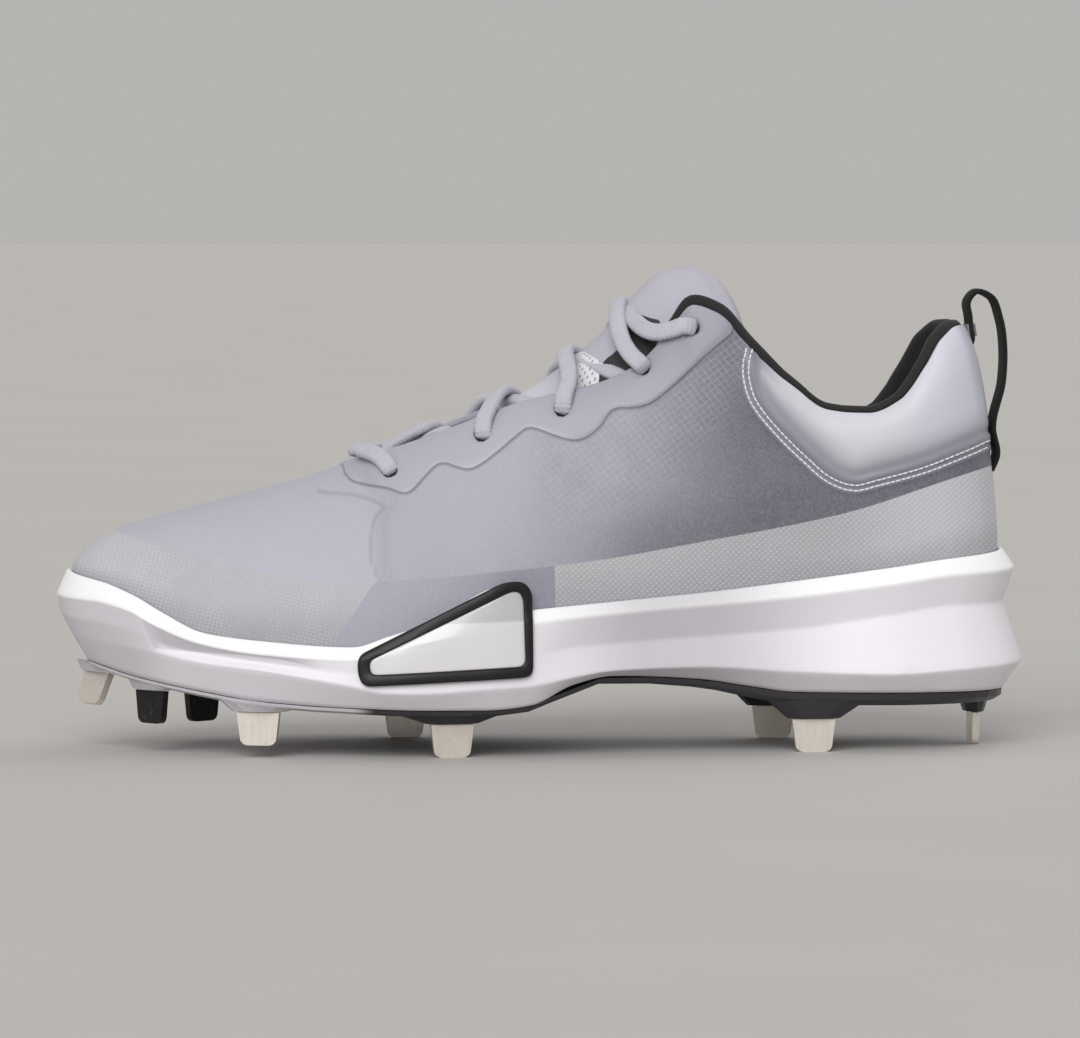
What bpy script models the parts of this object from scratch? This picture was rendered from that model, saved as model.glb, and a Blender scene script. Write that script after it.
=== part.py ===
"""Baseball cleat: a low left shoe with laces, a foam midsole and nine steel blades.

Metres, +Z up, toe at -X, outer (lateral) side at -Y, floor at z = 0.
"""

import math

import bmesh
import bpy
import numpy as np
from mathutils import Matrix, Vector

MM = 0.001

# Driving sizes
LENGTH = 299.0 * MM  # midsole, toe tip to heel bulge
BALL_WIDTH = 106.0 * MM  # midsole, at its widest
SIDE_HEIGHT = 46.0 * MM  # underside level to the midsole's top edge at the heel
EDGE_DEPTH = 10.0 * MM  # what the shares of the side wall's lean and steps are taken of
UPPER_HEIGHT = 123.0 * MM  # underside level to the top of the throat
BLADE_HEIGHT = 10.0 * MM
BLADE_WIDTH = 13.2 * MM
BLADE_THICK = 2.2 * MM
POD_DEPTH = 4.0 * MM  # how far the underside level stands over the blades' tops
PLATE_THICK = 3.8 * MM

# Walls and clearances
GAP = 0.3 * MM
WALL = 2.0 * MM
LIP = 1.2 * MM  # midsole's top edge, outside of the upper
CUP_DRAFT = 1.0 * MM
OVERLAY = 0.9 * MM  # step of the eyestay over the quarter
COLLAR_PAD = 3.2 * MM
LINING = 3.2 * MM
PIPING = 2.4 * MM
INSOLE_THICK = 4.2 * MM
INSOLE_CLEARANCE = 0.5 * MM
SEAM_EDGE = 0.006  # width of the overlay's step, as a share of the section
PAD_FULLNESS = 0.8  # below 1 the collar's padding is fuller near its edges
TONGUE_THICK = 3.0 * MM
TONGUE_PAD = 4.0 * MM  # added at the tongue's lobe
FRAME_PROUD = 1.9 * MM
PANEL_PROUD = 1.4 * MM
WINDOW_CLEARANCE = 0.4 * MM
TONGUE_EDGE_THIN = 0.45  # share of its thickness that the tongue loses at its edges
TONGUE_END = 0.35  # how far its rounded end stands out, as a share of the last section's reach
LACE_RADIUS = 2.4 * MM
LACE_CLEARANCE = 0.6 * MM  # over the eyestay
RIM_CLEARANCE = 0.9 * MM
TONGUE_CLEARANCE = 0.84 * MM
BAR_CLEARANCE = 1.2 * MM
STRAND_CLEARANCE = 2.4 * MM  # of a lower strand above the rim that it passes
LOOP_WIDTH = 11.0 * MM
LOOP_THICK = 1.8 * MM
LOOP_RISE = 11.0 * MM
LOOP_REACH = 12.0 * MM

UNDERSIDE = BLADE_HEIGHT + POD_DEPTH  # level that heights are measured from

# Stations round the shoe: this many even turns a side, and the places that need one of their own
EVEN_TURNS = 30
OWN_STATIONS = (0.308, 0.330, 0.4699, 0.4799, 0.645, 0.668, 0.69, 0.715)
STATION_MERGE = 0.008


class Table:
    """Rows of shares under named columns, read as smooth curves of the first column."""

    def __init__(self, columns, rows, ends_round=True):
        self.columns = columns
        self.ends_round = ends_round
        values = np.array(rows, float)
        self.where = self.abscissa(values[:, 0])
        self.values = values
        self.slopes = [self.column_slopes(values[:, i]) for i in range(len(columns))]

    def abscissa(self, share):
        if not self.ends_round:
            return np.asarray(share, float)
        return np.arccos(np.clip(1.0 - 2.0 * np.asarray(share, float), -1.0, 1.0))

    def column_slopes(self, ys):
        """Slopes of a curve through the rows that never overshoots them."""
        steps = np.diff(self.where)
        rises = np.diff(ys) / steps
        slopes = np.empty(len(ys))
        slopes[0] = rises[0]
        slopes[-1] = rises[-1]
        for i in range(1, len(ys) - 1):
            before, after = rises[i - 1], rises[i]
            if before * after <= 0.0:
                slopes[i] = 0.0
            else:
                first = 2.0 * steps[i] + steps[i - 1]
                second = steps[i] + 2.0 * steps[i - 1]
                slopes[i] = (first + second) / (first / before + second / after)
        return slopes

    def at(self, name, share):
        i = self.columns.index(name)
        x = float(self.abscissa(min(max(share, 0.0), 1.0)))
        k = int(np.clip(np.searchsorted(self.where, x) - 1, 0, len(self.where) - 2))
        width = self.where[k + 1] - self.where[k]
        t = min(max((x - self.where[k]) / width, 0.0), 1.0)
        y0, y1 = self.values[k, i], self.values[k + 1, i]
        m0, m1 = self.slopes[i][k] * width, self.slopes[i][k + 1] * width
        t2, t3 = t * t, t * t * t
        return (
            (2 * t3 - 3 * t2 + 1) * y0
            + (t3 - 2 * t2 + t) * m0
            + (3 * t2 - 2 * t3) * y1
            + (t3 - t2) * m1
        )


# Plan of the midsole: along as a share of LENGTH from the toe, across of BALL_WIDTH
PLAN = Table(
    ("along", "lateral", "medial"),
    (
        (0.000, 0.075, 0.075),
        (0.012, -0.066, 0.208),
        (0.035, -0.160, 0.292),
        (0.072, -0.259, 0.363),
        (0.142, -0.368, 0.439),
        (0.202, -0.429, 0.476),
        (0.293, -0.481, 0.500),
        (0.360, -0.500, 0.486),
        (0.430, -0.490, 0.443),
        (0.500, -0.453, 0.392),
        (0.560, -0.415, 0.354),
        (0.650, -0.377, 0.330),
        (0.750, -0.363, 0.335),
        (0.850, -0.354, 0.344),
        (0.920, -0.311, 0.311),
        (0.965, -0.231, 0.231),
        (0.990, -0.127, 0.127),
        (1.000, 0.000, 0.000),
    ),
)

# Side wall of the midsole: heights of its edges as shares of SIDE_HEIGHT over the underside
# level, and how far each lies in from the plan as shares of EDGE_DEPTH
WALLS = Table(
    (
        "along", "lower", "groove", "bevel", "top",
        "in_bottom", "in_lower", "in_groove", "in_bevel", "in_top",
    ),
    (
        (0.000, 0.470, 0.610, 0.740, 0.898, 0.93, 0.45, 0.12, 0.00, 0.32),
        (0.035, 0.440, 0.576, 0.728, 0.837, 0.90, 0.40, 0.12, 0.00, 0.32),
        (0.072, 0.409, 0.533, 0.670, 0.748, 0.85, 0.30, 0.12, 0.00, 0.32),
        (0.142, 0.337, 0.391, 0.461, 0.522, 0.80, 0.12, 0.30, 0.08, 0.32),
        (0.202, 0.289, 0.333, 0.398, 0.474, 0.80, 0.06, 0.30, 0.08, 0.32),
        (0.293, 0.185, 0.272, 0.370, 0.439, 0.70, 0.03, 0.10, 0.08, 0.32),
        (0.330, 0.141, 0.261, 0.413, 0.511, 0.65, 0.02, 0.06, 0.12, 0.32),
        (0.360, 0.137, 0.272, 0.467, 0.565, 0.62, 0.02, 0.06, 0.14, 0.32),
        (0.430, 0.163, 0.326, 0.543, 0.630, 0.60, 0.02, 0.08, 0.16, 0.32),
        (0.475, 0.180, 0.380, 0.598, 0.672, 0.55, 0.03, 0.10, 0.16, 0.34),
        (0.520, 0.230, 0.420, 0.630, 0.696, 0.55, 0.06, 0.32, 0.12, 0.38),
        (0.560, 0.267, 0.439, 0.652, 0.717, 0.56, 0.06, 0.36, 0.12, 0.40),
        (0.650, 0.283, 0.478, 0.696, 0.767, 0.60, 0.06, 0.40, 0.14, 0.44),
        (0.750, 0.246, 0.522, 0.750, 0.841, 0.65, 0.03, 0.48, 0.18, 0.50),
        (0.850, 0.224, 0.609, 0.826, 0.924, 0.70, 0.00, 0.56, 0.22, 0.56),
        (0.920, 0.246, 0.663, 0.880, 0.978, 0.70, 0.00, 0.60, 0.24, 0.60),
        (1.000, 0.280, 0.674, 0.902, 1.025, 0.60, 0.00, 0.60, 0.24, 0.62),
    ),
)

# Underside and footbed of the midsole as shares of SIDE_HEIGHT over the underside level, and
# the plate's thickness as a share of PLATE_THICK
BASE = Table(
    ("along", "bottom", "bed", "plate"),
    (
        (0.000, 0.345, 0.696, 0.40),
        (0.035, 0.289, 0.630, 0.40),
        (0.072, 0.224, 0.543, 0.40),
        (0.142, 0.135, 0.391, 0.42),
        (0.202, 0.074, 0.326, 0.45),
        (0.293, 0.035, 0.272, 0.45),
        (0.360, 0.020, 0.261, 0.45),
        (0.430, 0.017, 0.283, 0.45),
        (0.475, 0.043, 0.304, 0.45),
        (0.520, 0.174, 0.337, 0.45),
        (0.560, 0.226, 0.370, 0.50),
        (0.650, 0.196, 0.435, 0.65),
        (0.700, 0.148, 0.467, 0.85),
        (0.750, 0.104, 0.500, 1.00),
        (0.850, 0.091, 0.565, 1.00),
        (0.920, 0.087, 0.598, 0.95),
        (1.000, 0.074, 0.609, 0.80),
    ),
)

# Outer side only: the midsole's top edge where it rises behind the window
RISE = Table(
    ("along", "top"),
    (
        (0.000, 0.000),
        (0.300, 0.380),
        (0.333, 0.500),
        (0.383, 0.640),
        (0.446, 0.835),
        (0.4699, 0.845),
        (0.4799, 0.500),
        (1.000, 0.000),
    ),
    ends_round=False,
)

# The upper, a row for each section from where it leaves the midsole: the ridge or rim that the
# section runs to (x as a share of LENGTH from the toe, y of BALL_WIDTH, z of UPPER_HEIGHT over
# the underside level), the section's own curve (lean, rise, weight; belly as a share of
# EDGE_DEPTH), the height of the overlay's lower edge, and how much of its step and pad it has
UPPER = Table(
    (
        "along", "x", "lateral", "medial", "z",
        "lean", "rise", "weight", "belly", "seam", "step", "pad",
    ),
    (
        (0.000, 0.092, 0.075, 0.075, 0.458, 0.05, 0.80, 0.55, 0.0, 0.430, 0.0, 0.0),
        (0.035, 0.104, 0.075, 0.075, 0.467, 0.02, 0.88, 0.62, 0.0, 0.440, 0.0, 0.0),
        (0.072, 0.125, 0.073, 0.073, 0.480, 0.00, 0.93, 0.68, 0.0, 0.455, 0.0, 0.0),
        (0.142, 0.174, 0.066, 0.066, 0.511, 0.00, 0.97, 0.72, 0.0, 0.490, 0.0, 0.0),
        (0.202, 0.222, 0.058, 0.058, 0.543, 0.00, 0.98, 0.74, 0.0, 0.525, 0.0, 0.0),
        (0.250, 0.259, 0.053, 0.053, 0.567, 0.00, 0.98, 0.72, 0.0, 0.550, 0.0, 0.0),
        (0.280, 0.281, 0.047, 0.047, 0.585, 0.00, 0.97, 0.68, 0.0, 0.570, 0.3, 0.0),
        (0.308, 0.308, 0.042, 0.042, 0.607, 0.00, 0.95, 0.62, 0.1, 0.560, 1.0, 0.0),
        (0.330, 0.326, -0.058, 0.142, 0.621, 0.00, 0.93, 0.60, 0.1, 0.550, 1.0, 0.0),
        (0.365, 0.361, -0.096, 0.174, 0.648, 0.00, 0.92, 0.58, 0.1, 0.556, 1.0, 0.0),
        (0.430, 0.428, -0.137, 0.193, 0.709, 0.00, 0.88, 0.55, 0.1, 0.600, 1.0, 0.0),
        (0.475, 0.473, -0.156, 0.198, 0.750, 0.00, 0.85, 0.55, 0.1, 0.680, 1.0, 0.0),
        (0.520, 0.517, -0.170, 0.201, 0.776, 0.00, 0.82, 0.55, 0.1, 0.675, 1.0, 0.0),
        (0.560, 0.555, -0.184, 0.206, 0.801, 0.00, 0.79, 0.55, 0.1, 0.720, 1.0, 0.0),
        (0.600, 0.594, -0.198, 0.212, 0.850, 0.00, 0.74, 0.55, 0.1, 0.750, 1.0, 0.0),
        (0.645, 0.628, -0.212, 0.222, 0.940, 0.00, 0.70, 0.55, 0.1, 0.840, 1.0, 0.0),
        (0.668, 0.648, -0.225, 0.228, 0.996, 0.00, 0.68, 0.55, 0.1, 0.900, 1.0, 0.0),
        (0.690, 0.672, -0.241, 0.241, 0.976, 0.00, 0.66, 0.58, 0.2, 0.900, 1.0, 0.1),
        (0.715, 0.705, -0.259, 0.259, 0.890, 0.00, 0.62, 0.60, 0.2, 0.760, 0.9, 0.5),
        (0.745, 0.740, -0.274, 0.268, 0.810, 0.00, 0.60, 0.60, 0.3, 0.650, 0.8, 0.9),
        (0.790, 0.784, -0.283, 0.278, 0.748, 0.00, 0.60, 0.60, 0.3, 0.545, 0.8, 1.0),
        (0.830, 0.824, -0.278, 0.274, 0.753, 0.00, 0.60, 0.60, 0.3, 0.540, 0.8, 1.0),
        (0.870, 0.860, -0.255, 0.255, 0.801, 0.00, 0.60, 0.60, 0.3, 0.565, 0.8, 1.0),
        (0.905, 0.886, -0.220, 0.220, 0.874, 0.00, 0.60, 0.60, 0.3, 0.590, 0.8, 0.9),
        (0.935, 0.906, -0.175, 0.175, 0.931, 0.00, 0.60, 0.60, 0.2, 0.615, 0.8, 0.7),
        (0.965, 0.923, -0.118, 0.118, 0.947, 0.00, 0.60, 0.60, 0.1, 0.635, 0.8, 0.5),
        (0.985, 0.933, -0.066, 0.066, 0.943, 0.00, 0.60, 0.60, 0.0, 0.650, 0.8, 0.3),
        (1.000, 0.938, 0.000, 0.000, 0.939, 0.00, 0.60, 0.60, 0.0, 0.655, 0.8, 0.3),
    ),
)
THROAT_FRONT = 0.308  # where the ridge opens into the throat

# Tongue, a row for each section from its root to its lobe: middle of its face (x, z), half its
# width and where its middle lies across, how far its edges drop and how far they sweep back
TONGUE = Table(
    ("run", "x", "z", "middle", "half", "drop", "back", "pad"),
    (
        (0.00, 0.286, 0.553, 0.042, 0.132, 0.35, 0.00, 0.0),
        (0.10, 0.319, 0.588, 0.042, 0.151, 0.45, 0.00, 0.0),
        (0.20, 0.353, 0.631, 0.040, 0.170, 0.60, 0.00, 0.0),
        (0.32, 0.394, 0.688, 0.036, 0.184, 0.85, 0.00, 0.1),
        (0.47, 0.457, 0.758, 0.030, 0.186, 1.20, 0.00, 0.2),
        (0.60, 0.513, 0.845, 0.022, 0.180, 1.75, 0.00, 0.4),
        (0.72, 0.559, 0.936, 0.016, 0.165, 1.95, 0.10, 0.6),
        (0.83, 0.598, 1.037, 0.012, 0.155, 1.95, 0.60, 0.9),
        (0.92, 0.627, 1.092, 0.010, 0.150, 1.75, 1.00, 1.2),
        (1.00, 0.655, 1.104, 0.010, 0.142, 1.50, 1.10, 1.0),
    ),
    ends_round=False,
)

# Blades: place along (share of LENGTH) and across (of BALL_WIDTH), turn and forward lean in
# degrees, the tip's height as a share of BLADE_HEIGHT, more than 0 where the toe springs, and
# the length of the pod's slopes as a share of POD_SLOPE
BLADES = (
    ("spike_toe", 0.043, 0.075, -55.0, 20.0, 1.35, 0.12),
    ("spike_front_lateral", 0.096, -0.140, -52.0, 0.0, 0.92, 0.25),
    ("spike_front_medial", 0.152, 0.330, 40.0, 0.0, 0.58, 0.25),
    ("spike_side_lateral", 0.202, -0.325, -16.0, 0.0, 0.38, 0.45),
    ("spike_ball_medial", 0.366, 0.355, -6.0, 0.0, 0.0, 1.0),
    ("spike_ball_lateral", 0.397, -0.360, 6.0, 0.0, 0.0, 1.0),
    ("spike_heel_medial", 0.751, 0.240, 0.0, 0.0, 0.0, 0.8),
    ("spike_heel_lateral", 0.771, -0.255, 0.0, 0.0, 0.0, 0.8),
    ("spike_heel_rear", 0.950, 0.000, 90.0, 0.0, 0.0, 0.3),
)
BLADE_FOOT = 0.86  # width at the tip as a share of the width at the top
BLADE_CORNER = 2.4 * MM
POD_SLOPE = 11.0 * MM  # how much further a pod reaches, each way, where it leaves the plate
POD_SIDE_SLOPE = 1.6 * MM
POD_SHOULDER = 1.6 * MM
POD_HALF_THICK = 3.2 * MM

# Rings of the plate from its top face down: inset, and depth as a share of its thickness
PLATE_RINGS = ((0.0, 0.0), (0.2 * MM, 0.55), (2.6 * MM, 1.0))
# Rings of the insole from its underside up: inset, and height as a share of INSOLE_THICK
INSOLE_RINGS = ((0.0, 0.0), (0.0, 1.0), (2.0 * MM, 1.15), (10.0 * MM, 0.9))
# Roll of the collar's piping: depth as a share of the lining's, height as a share of PIPING
PIPING_ROLL = ((0.07, 0.13), (0.04, 0.60), (0.29, 1.00), (0.60, 1.00), (0.95, 0.50))

# Eyelets: along as the station's share, and depth below the rim as a share of the section
EYELETS = (
    ("first", 0.349, 0.16),
    ("second", 0.438, 0.17),
    ("third", 0.513, 0.17),
    ("fourth", 0.592, 0.17),
    ("fifth", 0.650, 0.10),
)
# Where each crossing passes over the tongue, and where its lower strands go under the rims
CROSSINGS = (
    ("lace_cross_1", 0.27, 0.362, 0.395),
    ("lace_cross_2", 0.45, 0.438, 0.473),
    ("lace_cross_3", 0.62, 0.513, 0.552),
)
TONGUE_SIDE = 0.45  # how far to each side a crossing follows the tongue, and how far it leans
TONGUE_LEAN = 0.02
LAST_CROSSING = 0.755  # run of the tongue under the crossing between the two top eyelets
BAR_RUN = 0.14

# Window on the outer side: corners of its border, outer and inner (x of LENGTH, z of
# SIDE_HEIGHT over the underside level)
WINDOW_CORNERS = (
    (0.2990, 0.263, 0.3110, 0.293),
    (0.3050, 0.187, 0.3144, 0.261),
    (0.4716, 0.239, 0.4649, 0.309),
    (0.4766, 0.278, 0.4686, 0.339),
    (0.4763, 0.793, 0.4669, 0.752),
    (0.4676, 0.867, 0.4622, 0.802),
    (0.4465, 0.861, 0.4532, 0.800),
    (0.2990, 0.387, 0.3110, 0.359),
)
WINDOW_STEP = 7.0 * MM

COLLAR_FRONT = 0.645
LINING_FROM = 4  # the step of each section that the lining reaches down to

# Pull loop: places over the collar's back edge, out as a share of LOOP_REACH, up of LOOP_RISE
LOOP_PLACES = (
    (0.14, 0.30),
    (0.10, 0.72),
    (0.32, 1.00),
    (0.70, 0.86),
    (0.94, 0.25),
    (1.05, -0.60),
    (1.02, -1.50),
)


# Shoe surfaces


def along_of(turn):
    turn = turn % 2.0
    half = turn if turn <= 1.0 else 2.0 - turn
    return 0.5 * (1.0 - math.cos(math.pi * half))


def turn_of(along, side):
    half = math.acos(1.0 - 2.0 * along) / math.pi
    return half if side == "lateral" else 2.0 - half


def side_of(turn):
    return "lateral" if turn % 2.0 <= 1.0 else "medial"


def plan_point(turn):
    along = along_of(turn)
    return np.array([(along - 0.5) * LENGTH, PLAN.at(side_of(turn), along) * BALL_WIDTH])


def plan_outward(turn, reach=0.004):
    run = plan_point(turn + reach) - plan_point(turn - reach)
    return np.array([run[1], -run[0]]) / np.hypot(*run)


def plan_inset(turn, inset):
    return plan_point(turn) - plan_outward(turn) * inset


def side_level(share):
    return UNDERSIDE + share * SIDE_HEIGHT


def upper_level(share):
    return UNDERSIDE + share * UPPER_HEIGHT


def base_level(name, x):
    return side_level(BASE.at(name, x / LENGTH + 0.5))


def top_share(turn):
    along = along_of(turn)
    top = WALLS.at("top", along)
    if side_of(turn) == "lateral":
        top = max(top, RISE.at("top", along))
    return top


def wall_edge(turn, name):
    """Point on one of the side wall's edges."""
    along = along_of(turn)
    x, y = plan_inset(turn, WALLS.at("in_" + name, along) * EDGE_DEPTH)
    share = top_share(turn) if name == "top" else WALLS.at(name, along)
    return np.array([x, y, side_level(share)])


def cup_inset(turn):
    return WALLS.at("in_top", along_of(turn)) * EDGE_DEPTH + LIP


def feather_point(turn, depth=0.0):
    """Bottom edge of the upper, on the footbed."""
    x, y = plan_inset(turn, cup_inset(turn) + CUP_DRAFT + GAP + depth)
    return np.array([x, y, base_level("bed", x) + GAP])


def section_foot(turn):
    """Where the upper leaves the midsole."""
    x, y = plan_inset(turn, cup_inset(turn) + GAP)
    return np.array([x, y, side_level(top_share(turn))])


def section_head(turn):
    """The ridge or rim that the section runs to."""
    along = along_of(turn)
    return np.array(
        [
            (UPPER.at("x", along) - 0.5) * LENGTH,
            UPPER.at(side_of(turn), along) * BALL_WIDTH,
            upper_level(UPPER.at("z", along)),
        ]
    )


def section_point(turn, t):
    """Point of the upper's plain outside, from t = 0 at the midsole to t = 1 at the ridge or rim."""
    along = along_of(turn)
    foot = section_foot(turn)
    head = section_head(turn)
    knee = foot + UPPER.at("lean", along) * (head - foot)
    knee[2] = foot[2] + UPPER.at("rise", along) * (head[2] - foot[2])
    knee[:2] += plan_outward(turn) * UPPER.at("belly", along) * EDGE_DEPTH
    weights = ((1 - t) ** 2, 2 * UPPER.at("weight", along) * t * (1 - t), t * t)
    return (weights[0] * foot + weights[1] * knee + weights[2] * head) / sum(weights)


def section_normal(turn, t, reach=0.004):
    low, high = max(t - 0.01, 0.0), min(t + 0.01, 1.0)
    up = section_point(turn, high) - section_point(turn, low)
    level = min(t, 0.96)  # the two sides share the ridge, so the run is read just below it
    run = section_point(turn + reach, level) - section_point(turn - reach, level)
    normal = np.cross(run, up)
    return normal / np.linalg.norm(normal)


def seam_t(turn):
    """Where the overlay's lower edge crosses the section."""
    level = upper_level(UPPER.at("seam", along_of(turn)))
    low, high = 0.0, 1.0
    for _ in range(24):
        middle = 0.5 * (low + high)
        if section_point(turn, middle)[2] < level:
            low = middle
        else:
            high = middle
    return 0.5 * (low + high)


def overlay_raise(turn, t, seam):
    """How far the eyestay or collar panel stands off the plain outside."""
    along = along_of(turn)
    if t <= seam:
        return 0.0
    inside = (t - seam) / (1.0 - seam)
    pad = math.sin(math.pi * min(inside, 1.0)) ** PAD_FULLNESS
    return OVERLAY * UPPER.at("step", along) + COLLAR_PAD * UPPER.at("pad", along) * pad


def upper_point(turn, t, depth=0.0, above=0.0):
    """Point of the upper at a depth in from its outside, or above its rim."""
    normal = section_normal(turn, t)
    place = section_point(turn, t)
    place = place + normal * (overlay_raise(turn, t, seam_t(turn)) - depth)
    if above:
        up = section_point(turn, 1.0) - section_point(turn, 0.94)
        place = place + up / np.linalg.norm(up) * above
    return place


def station_turns():
    """Turns once round the shoe, the same places along on both sides."""
    turns = {i / EVEN_TURNS for i in range(EVEN_TURNS + 1)}
    for along in OWN_STATIONS:
        own = turn_of(along, "lateral")
        turns = {turn for turn in turns if abs(turn - own) > STATION_MERGE or turn in (0, 1)}
        turns.add(own)
    lateral = sorted(turns)
    return lateral + [2.0 - turn for turn in reversed(lateral[1:-1])]


# Mesh helpers


def new_object(name, mesh, material, collection):
    thing = bpy.data.objects.new(name, mesh)
    collection.objects.link(thing)
    if material is not None:
        mesh.materials.append(material)
    return thing


def finish_mesh(name, work):
    bmesh.ops.remove_doubles(work, verts=work.verts, dist=0.00001)
    bmesh.ops.recalc_face_normals(work, faces=work.faces)
    mesh = bpy.data.meshes.new(name)
    work.to_mesh(mesh)
    work.free()
    mesh.shade_smooth()
    mesh.set_sharp_from_angle(angle=math.radians(35.0))
    return mesh


def bridge(work, lower, upper, closed):
    count = len(lower)
    for i in range(count if closed else count - 1):
        j = (i + 1) % count
        corners = [lower[i], lower[j], upper[j], upper[i]]
        work.faces.new([v for k, v in enumerate(corners) if v not in corners[:k]])


def cap(work, ring, shift):
    """Close a ring with strips that join point i to point shift - i."""
    count = len(ring)
    for i in range(count):
        corners = [ring[i], ring[(i + 1) % count], ring[(shift - i - 1) % count], ring[(shift - i) % count]]
        corners = [v for k, v in enumerate(corners) if v not in corners[:k]]
        if (shift - i - 1) % count < i or len(corners) < 3:
            continue
        work.faces.new(corners)


def loft_mesh(name, rings, shift):
    """A closed solid through closed rings, with a strip cap at each end."""
    work = bmesh.new()
    loops = [[work.verts.new(point) for point in ring] for ring in rings]
    for lower, upper in zip(loops, loops[1:]):
        bridge(work, lower, upper, True)
    cap(work, loops[0], shift)
    cap(work, loops[-1], shift)
    return finish_mesh(name, work)


def band_mesh(name, loops):
    """A closed ring-shaped solid from loops that run round its cross-section."""
    work = bmesh.new()
    rings = [[work.verts.new(point) for point in loop] for loop in loops]
    for i, ring in enumerate(rings):
        bridge(work, ring, rings[(i + 1) % len(rings)], True)
    return finish_mesh(name, work)


def smooth_path(points, count):
    """Points along a smooth curve through the given ones."""
    points = np.array(points, float)
    reach = np.concatenate([[0.0], np.cumsum(np.linalg.norm(np.diff(points, axis=0), axis=1))])
    slopes = np.gradient(points, reach, axis=0)
    path = []
    for where in np.linspace(0.0, reach[-1], count):
        k = int(np.clip(np.searchsorted(reach, where) - 1, 0, len(points) - 2))
        width = reach[k + 1] - reach[k]
        t = (where - reach[k]) / width
        path.append(
            (2 * t**3 - 3 * t**2 + 1) * points[k]
            + (t**3 - 2 * t**2 + t) * width * slopes[k]
            + (3 * t**2 - 2 * t**3) * points[k + 1]
            + (t**3 - t**2) * width * slopes[k + 1]
        )
    return path


def tube_mesh(name, points, radius, scratch):
    """A round strand as a closed mesh."""
    curve = bpy.data.curves.new(name, "CURVE")
    curve.dimensions = "3D"
    curve.bevel_depth = radius
    curve.bevel_resolution = 2
    curve.use_fill_caps = True
    spline = curve.splines.new("POLY")
    spline.points.add(len(points) - 1)
    for place, point in zip(spline.points, points):
        place.co = (*point, 1.0)
    holder = bpy.data.objects.new(name, curve)
    scratch.objects.link(holder)
    bpy.context.view_layer.update()
    mesh = bpy.data.meshes.new_from_object(holder.evaluated_get(bpy.context.evaluated_depsgraph_get()))
    bpy.data.objects.remove(holder)
    work = bmesh.new()
    work.from_mesh(mesh)
    return finish_mesh(name, work)


def unite(thing, others, cutters):
    """Join other meshes to an object, as one body."""
    for other in others:
        other.hide_render = True
        other.display_type = "WIRE"
        if other.name not in cutters.objects:
            cutters.objects.link(other)
        join = thing.modifiers.new("join", "BOOLEAN")
        join.operation = "UNION"
        join.solver = "EXACT"
        join.object = other


def material(name, colour, roughness, metallic=0.0):
    finish = bpy.data.materials.new(name)
    finish.use_nodes = True
    shader = finish.node_tree.nodes["Principled BSDF"]
    shader.inputs["Base Color"].default_value = (*colour, 1.0)
    shader.inputs["Roughness"].default_value = roughness
    shader.inputs["Metallic"].default_value = metallic
    finish.diffuse_color = (*colour, 1.0)
    return finish


# Parts of the sole


def make_midsole(turns, collection):
    bottom = []
    for turn in turns:
        x, y = plan_inset(turn, WALLS.at("in_bottom", along_of(turn)) * EDGE_DEPTH)
        bottom.append((x, y, base_level("bottom", x)))
    rings = [bottom]
    rings += [[wall_edge(turn, name) for turn in turns] for name in ("lower", "groove", "bevel", "top")]
    lip, bed = [], []
    for turn in turns:
        x, y = plan_inset(turn, cup_inset(turn))
        lip.append((x, y, side_level(top_share(turn))))
        x, y = plan_inset(turn, cup_inset(turn) + CUP_DRAFT)
        bed.append((x, y, base_level("bed", x)))
    rings += [lip, bed]
    finish = material("foam", (0.86, 0.85, 0.90), 0.55)
    return new_object("midsole", loft_mesh("midsole", rings, 0), finish, collection)


def plate_ring(turns, inset, depth):
    """Ring of the plate at an inset from the midsole's underside and a share of its thickness."""
    ring = []
    for turn in turns:
        edge = WALLS.at("in_bottom", along_of(turn)) * EDGE_DEPTH
        x, y = plan_inset(turn, edge + inset)
        thick = BASE.at("plate", x / LENGTH + 0.5) * PLATE_THICK
        ring.append((x, y, base_level("bottom", x) - GAP - depth * thick))
    return ring


def make_pod(name, along, across, turn, tip, slope, collection):
    """A tapered boss that carries one blade and ends inside the plate."""
    low = (tip + 1.0) * BLADE_HEIGHT + GAP
    half = BLADE_WIDTH / 2 + POD_SHOULDER
    work = bmesh.new()
    bmesh.ops.create_cone(work, cap_ends=True, segments=12, radius1=1.0, radius2=1.0, depth=2.0)
    head = [vert for vert in work.verts if vert.co.z > 0.0]
    foot = [vert for vert in work.verts if vert.co.z < 0.0]
    wide = (half + slope * POD_SLOPE, POD_HALF_THICK + POD_SIDE_SLOPE, 1.0)
    bmesh.ops.scale(work, vec=wide, verts=head)
    bmesh.ops.scale(work, vec=(half, POD_HALF_THICK, 1.0), verts=foot)
    spin = Matrix.Rotation(math.radians(turn), 3, "Z")
    bmesh.ops.rotate(work, cent=(0, 0, 0), matrix=spin, verts=work.verts)
    bmesh.ops.translate(work, vec=((along - 0.5) * LENGTH, across * BALL_WIDTH, 0.0), verts=work.verts)
    for vert in foot:
        vert.co.z = low
    for vert in head:
        x = vert.co.x
        thick = BASE.at("plate", x / LENGTH + 0.5) * PLATE_THICK
        vert.co.z = base_level("bottom", x) - GAP - 0.5 * thick
    pod = bpy.data.objects.new(name, finish_mesh(name, work))
    collection.objects.link(pod)
    return pod


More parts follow.
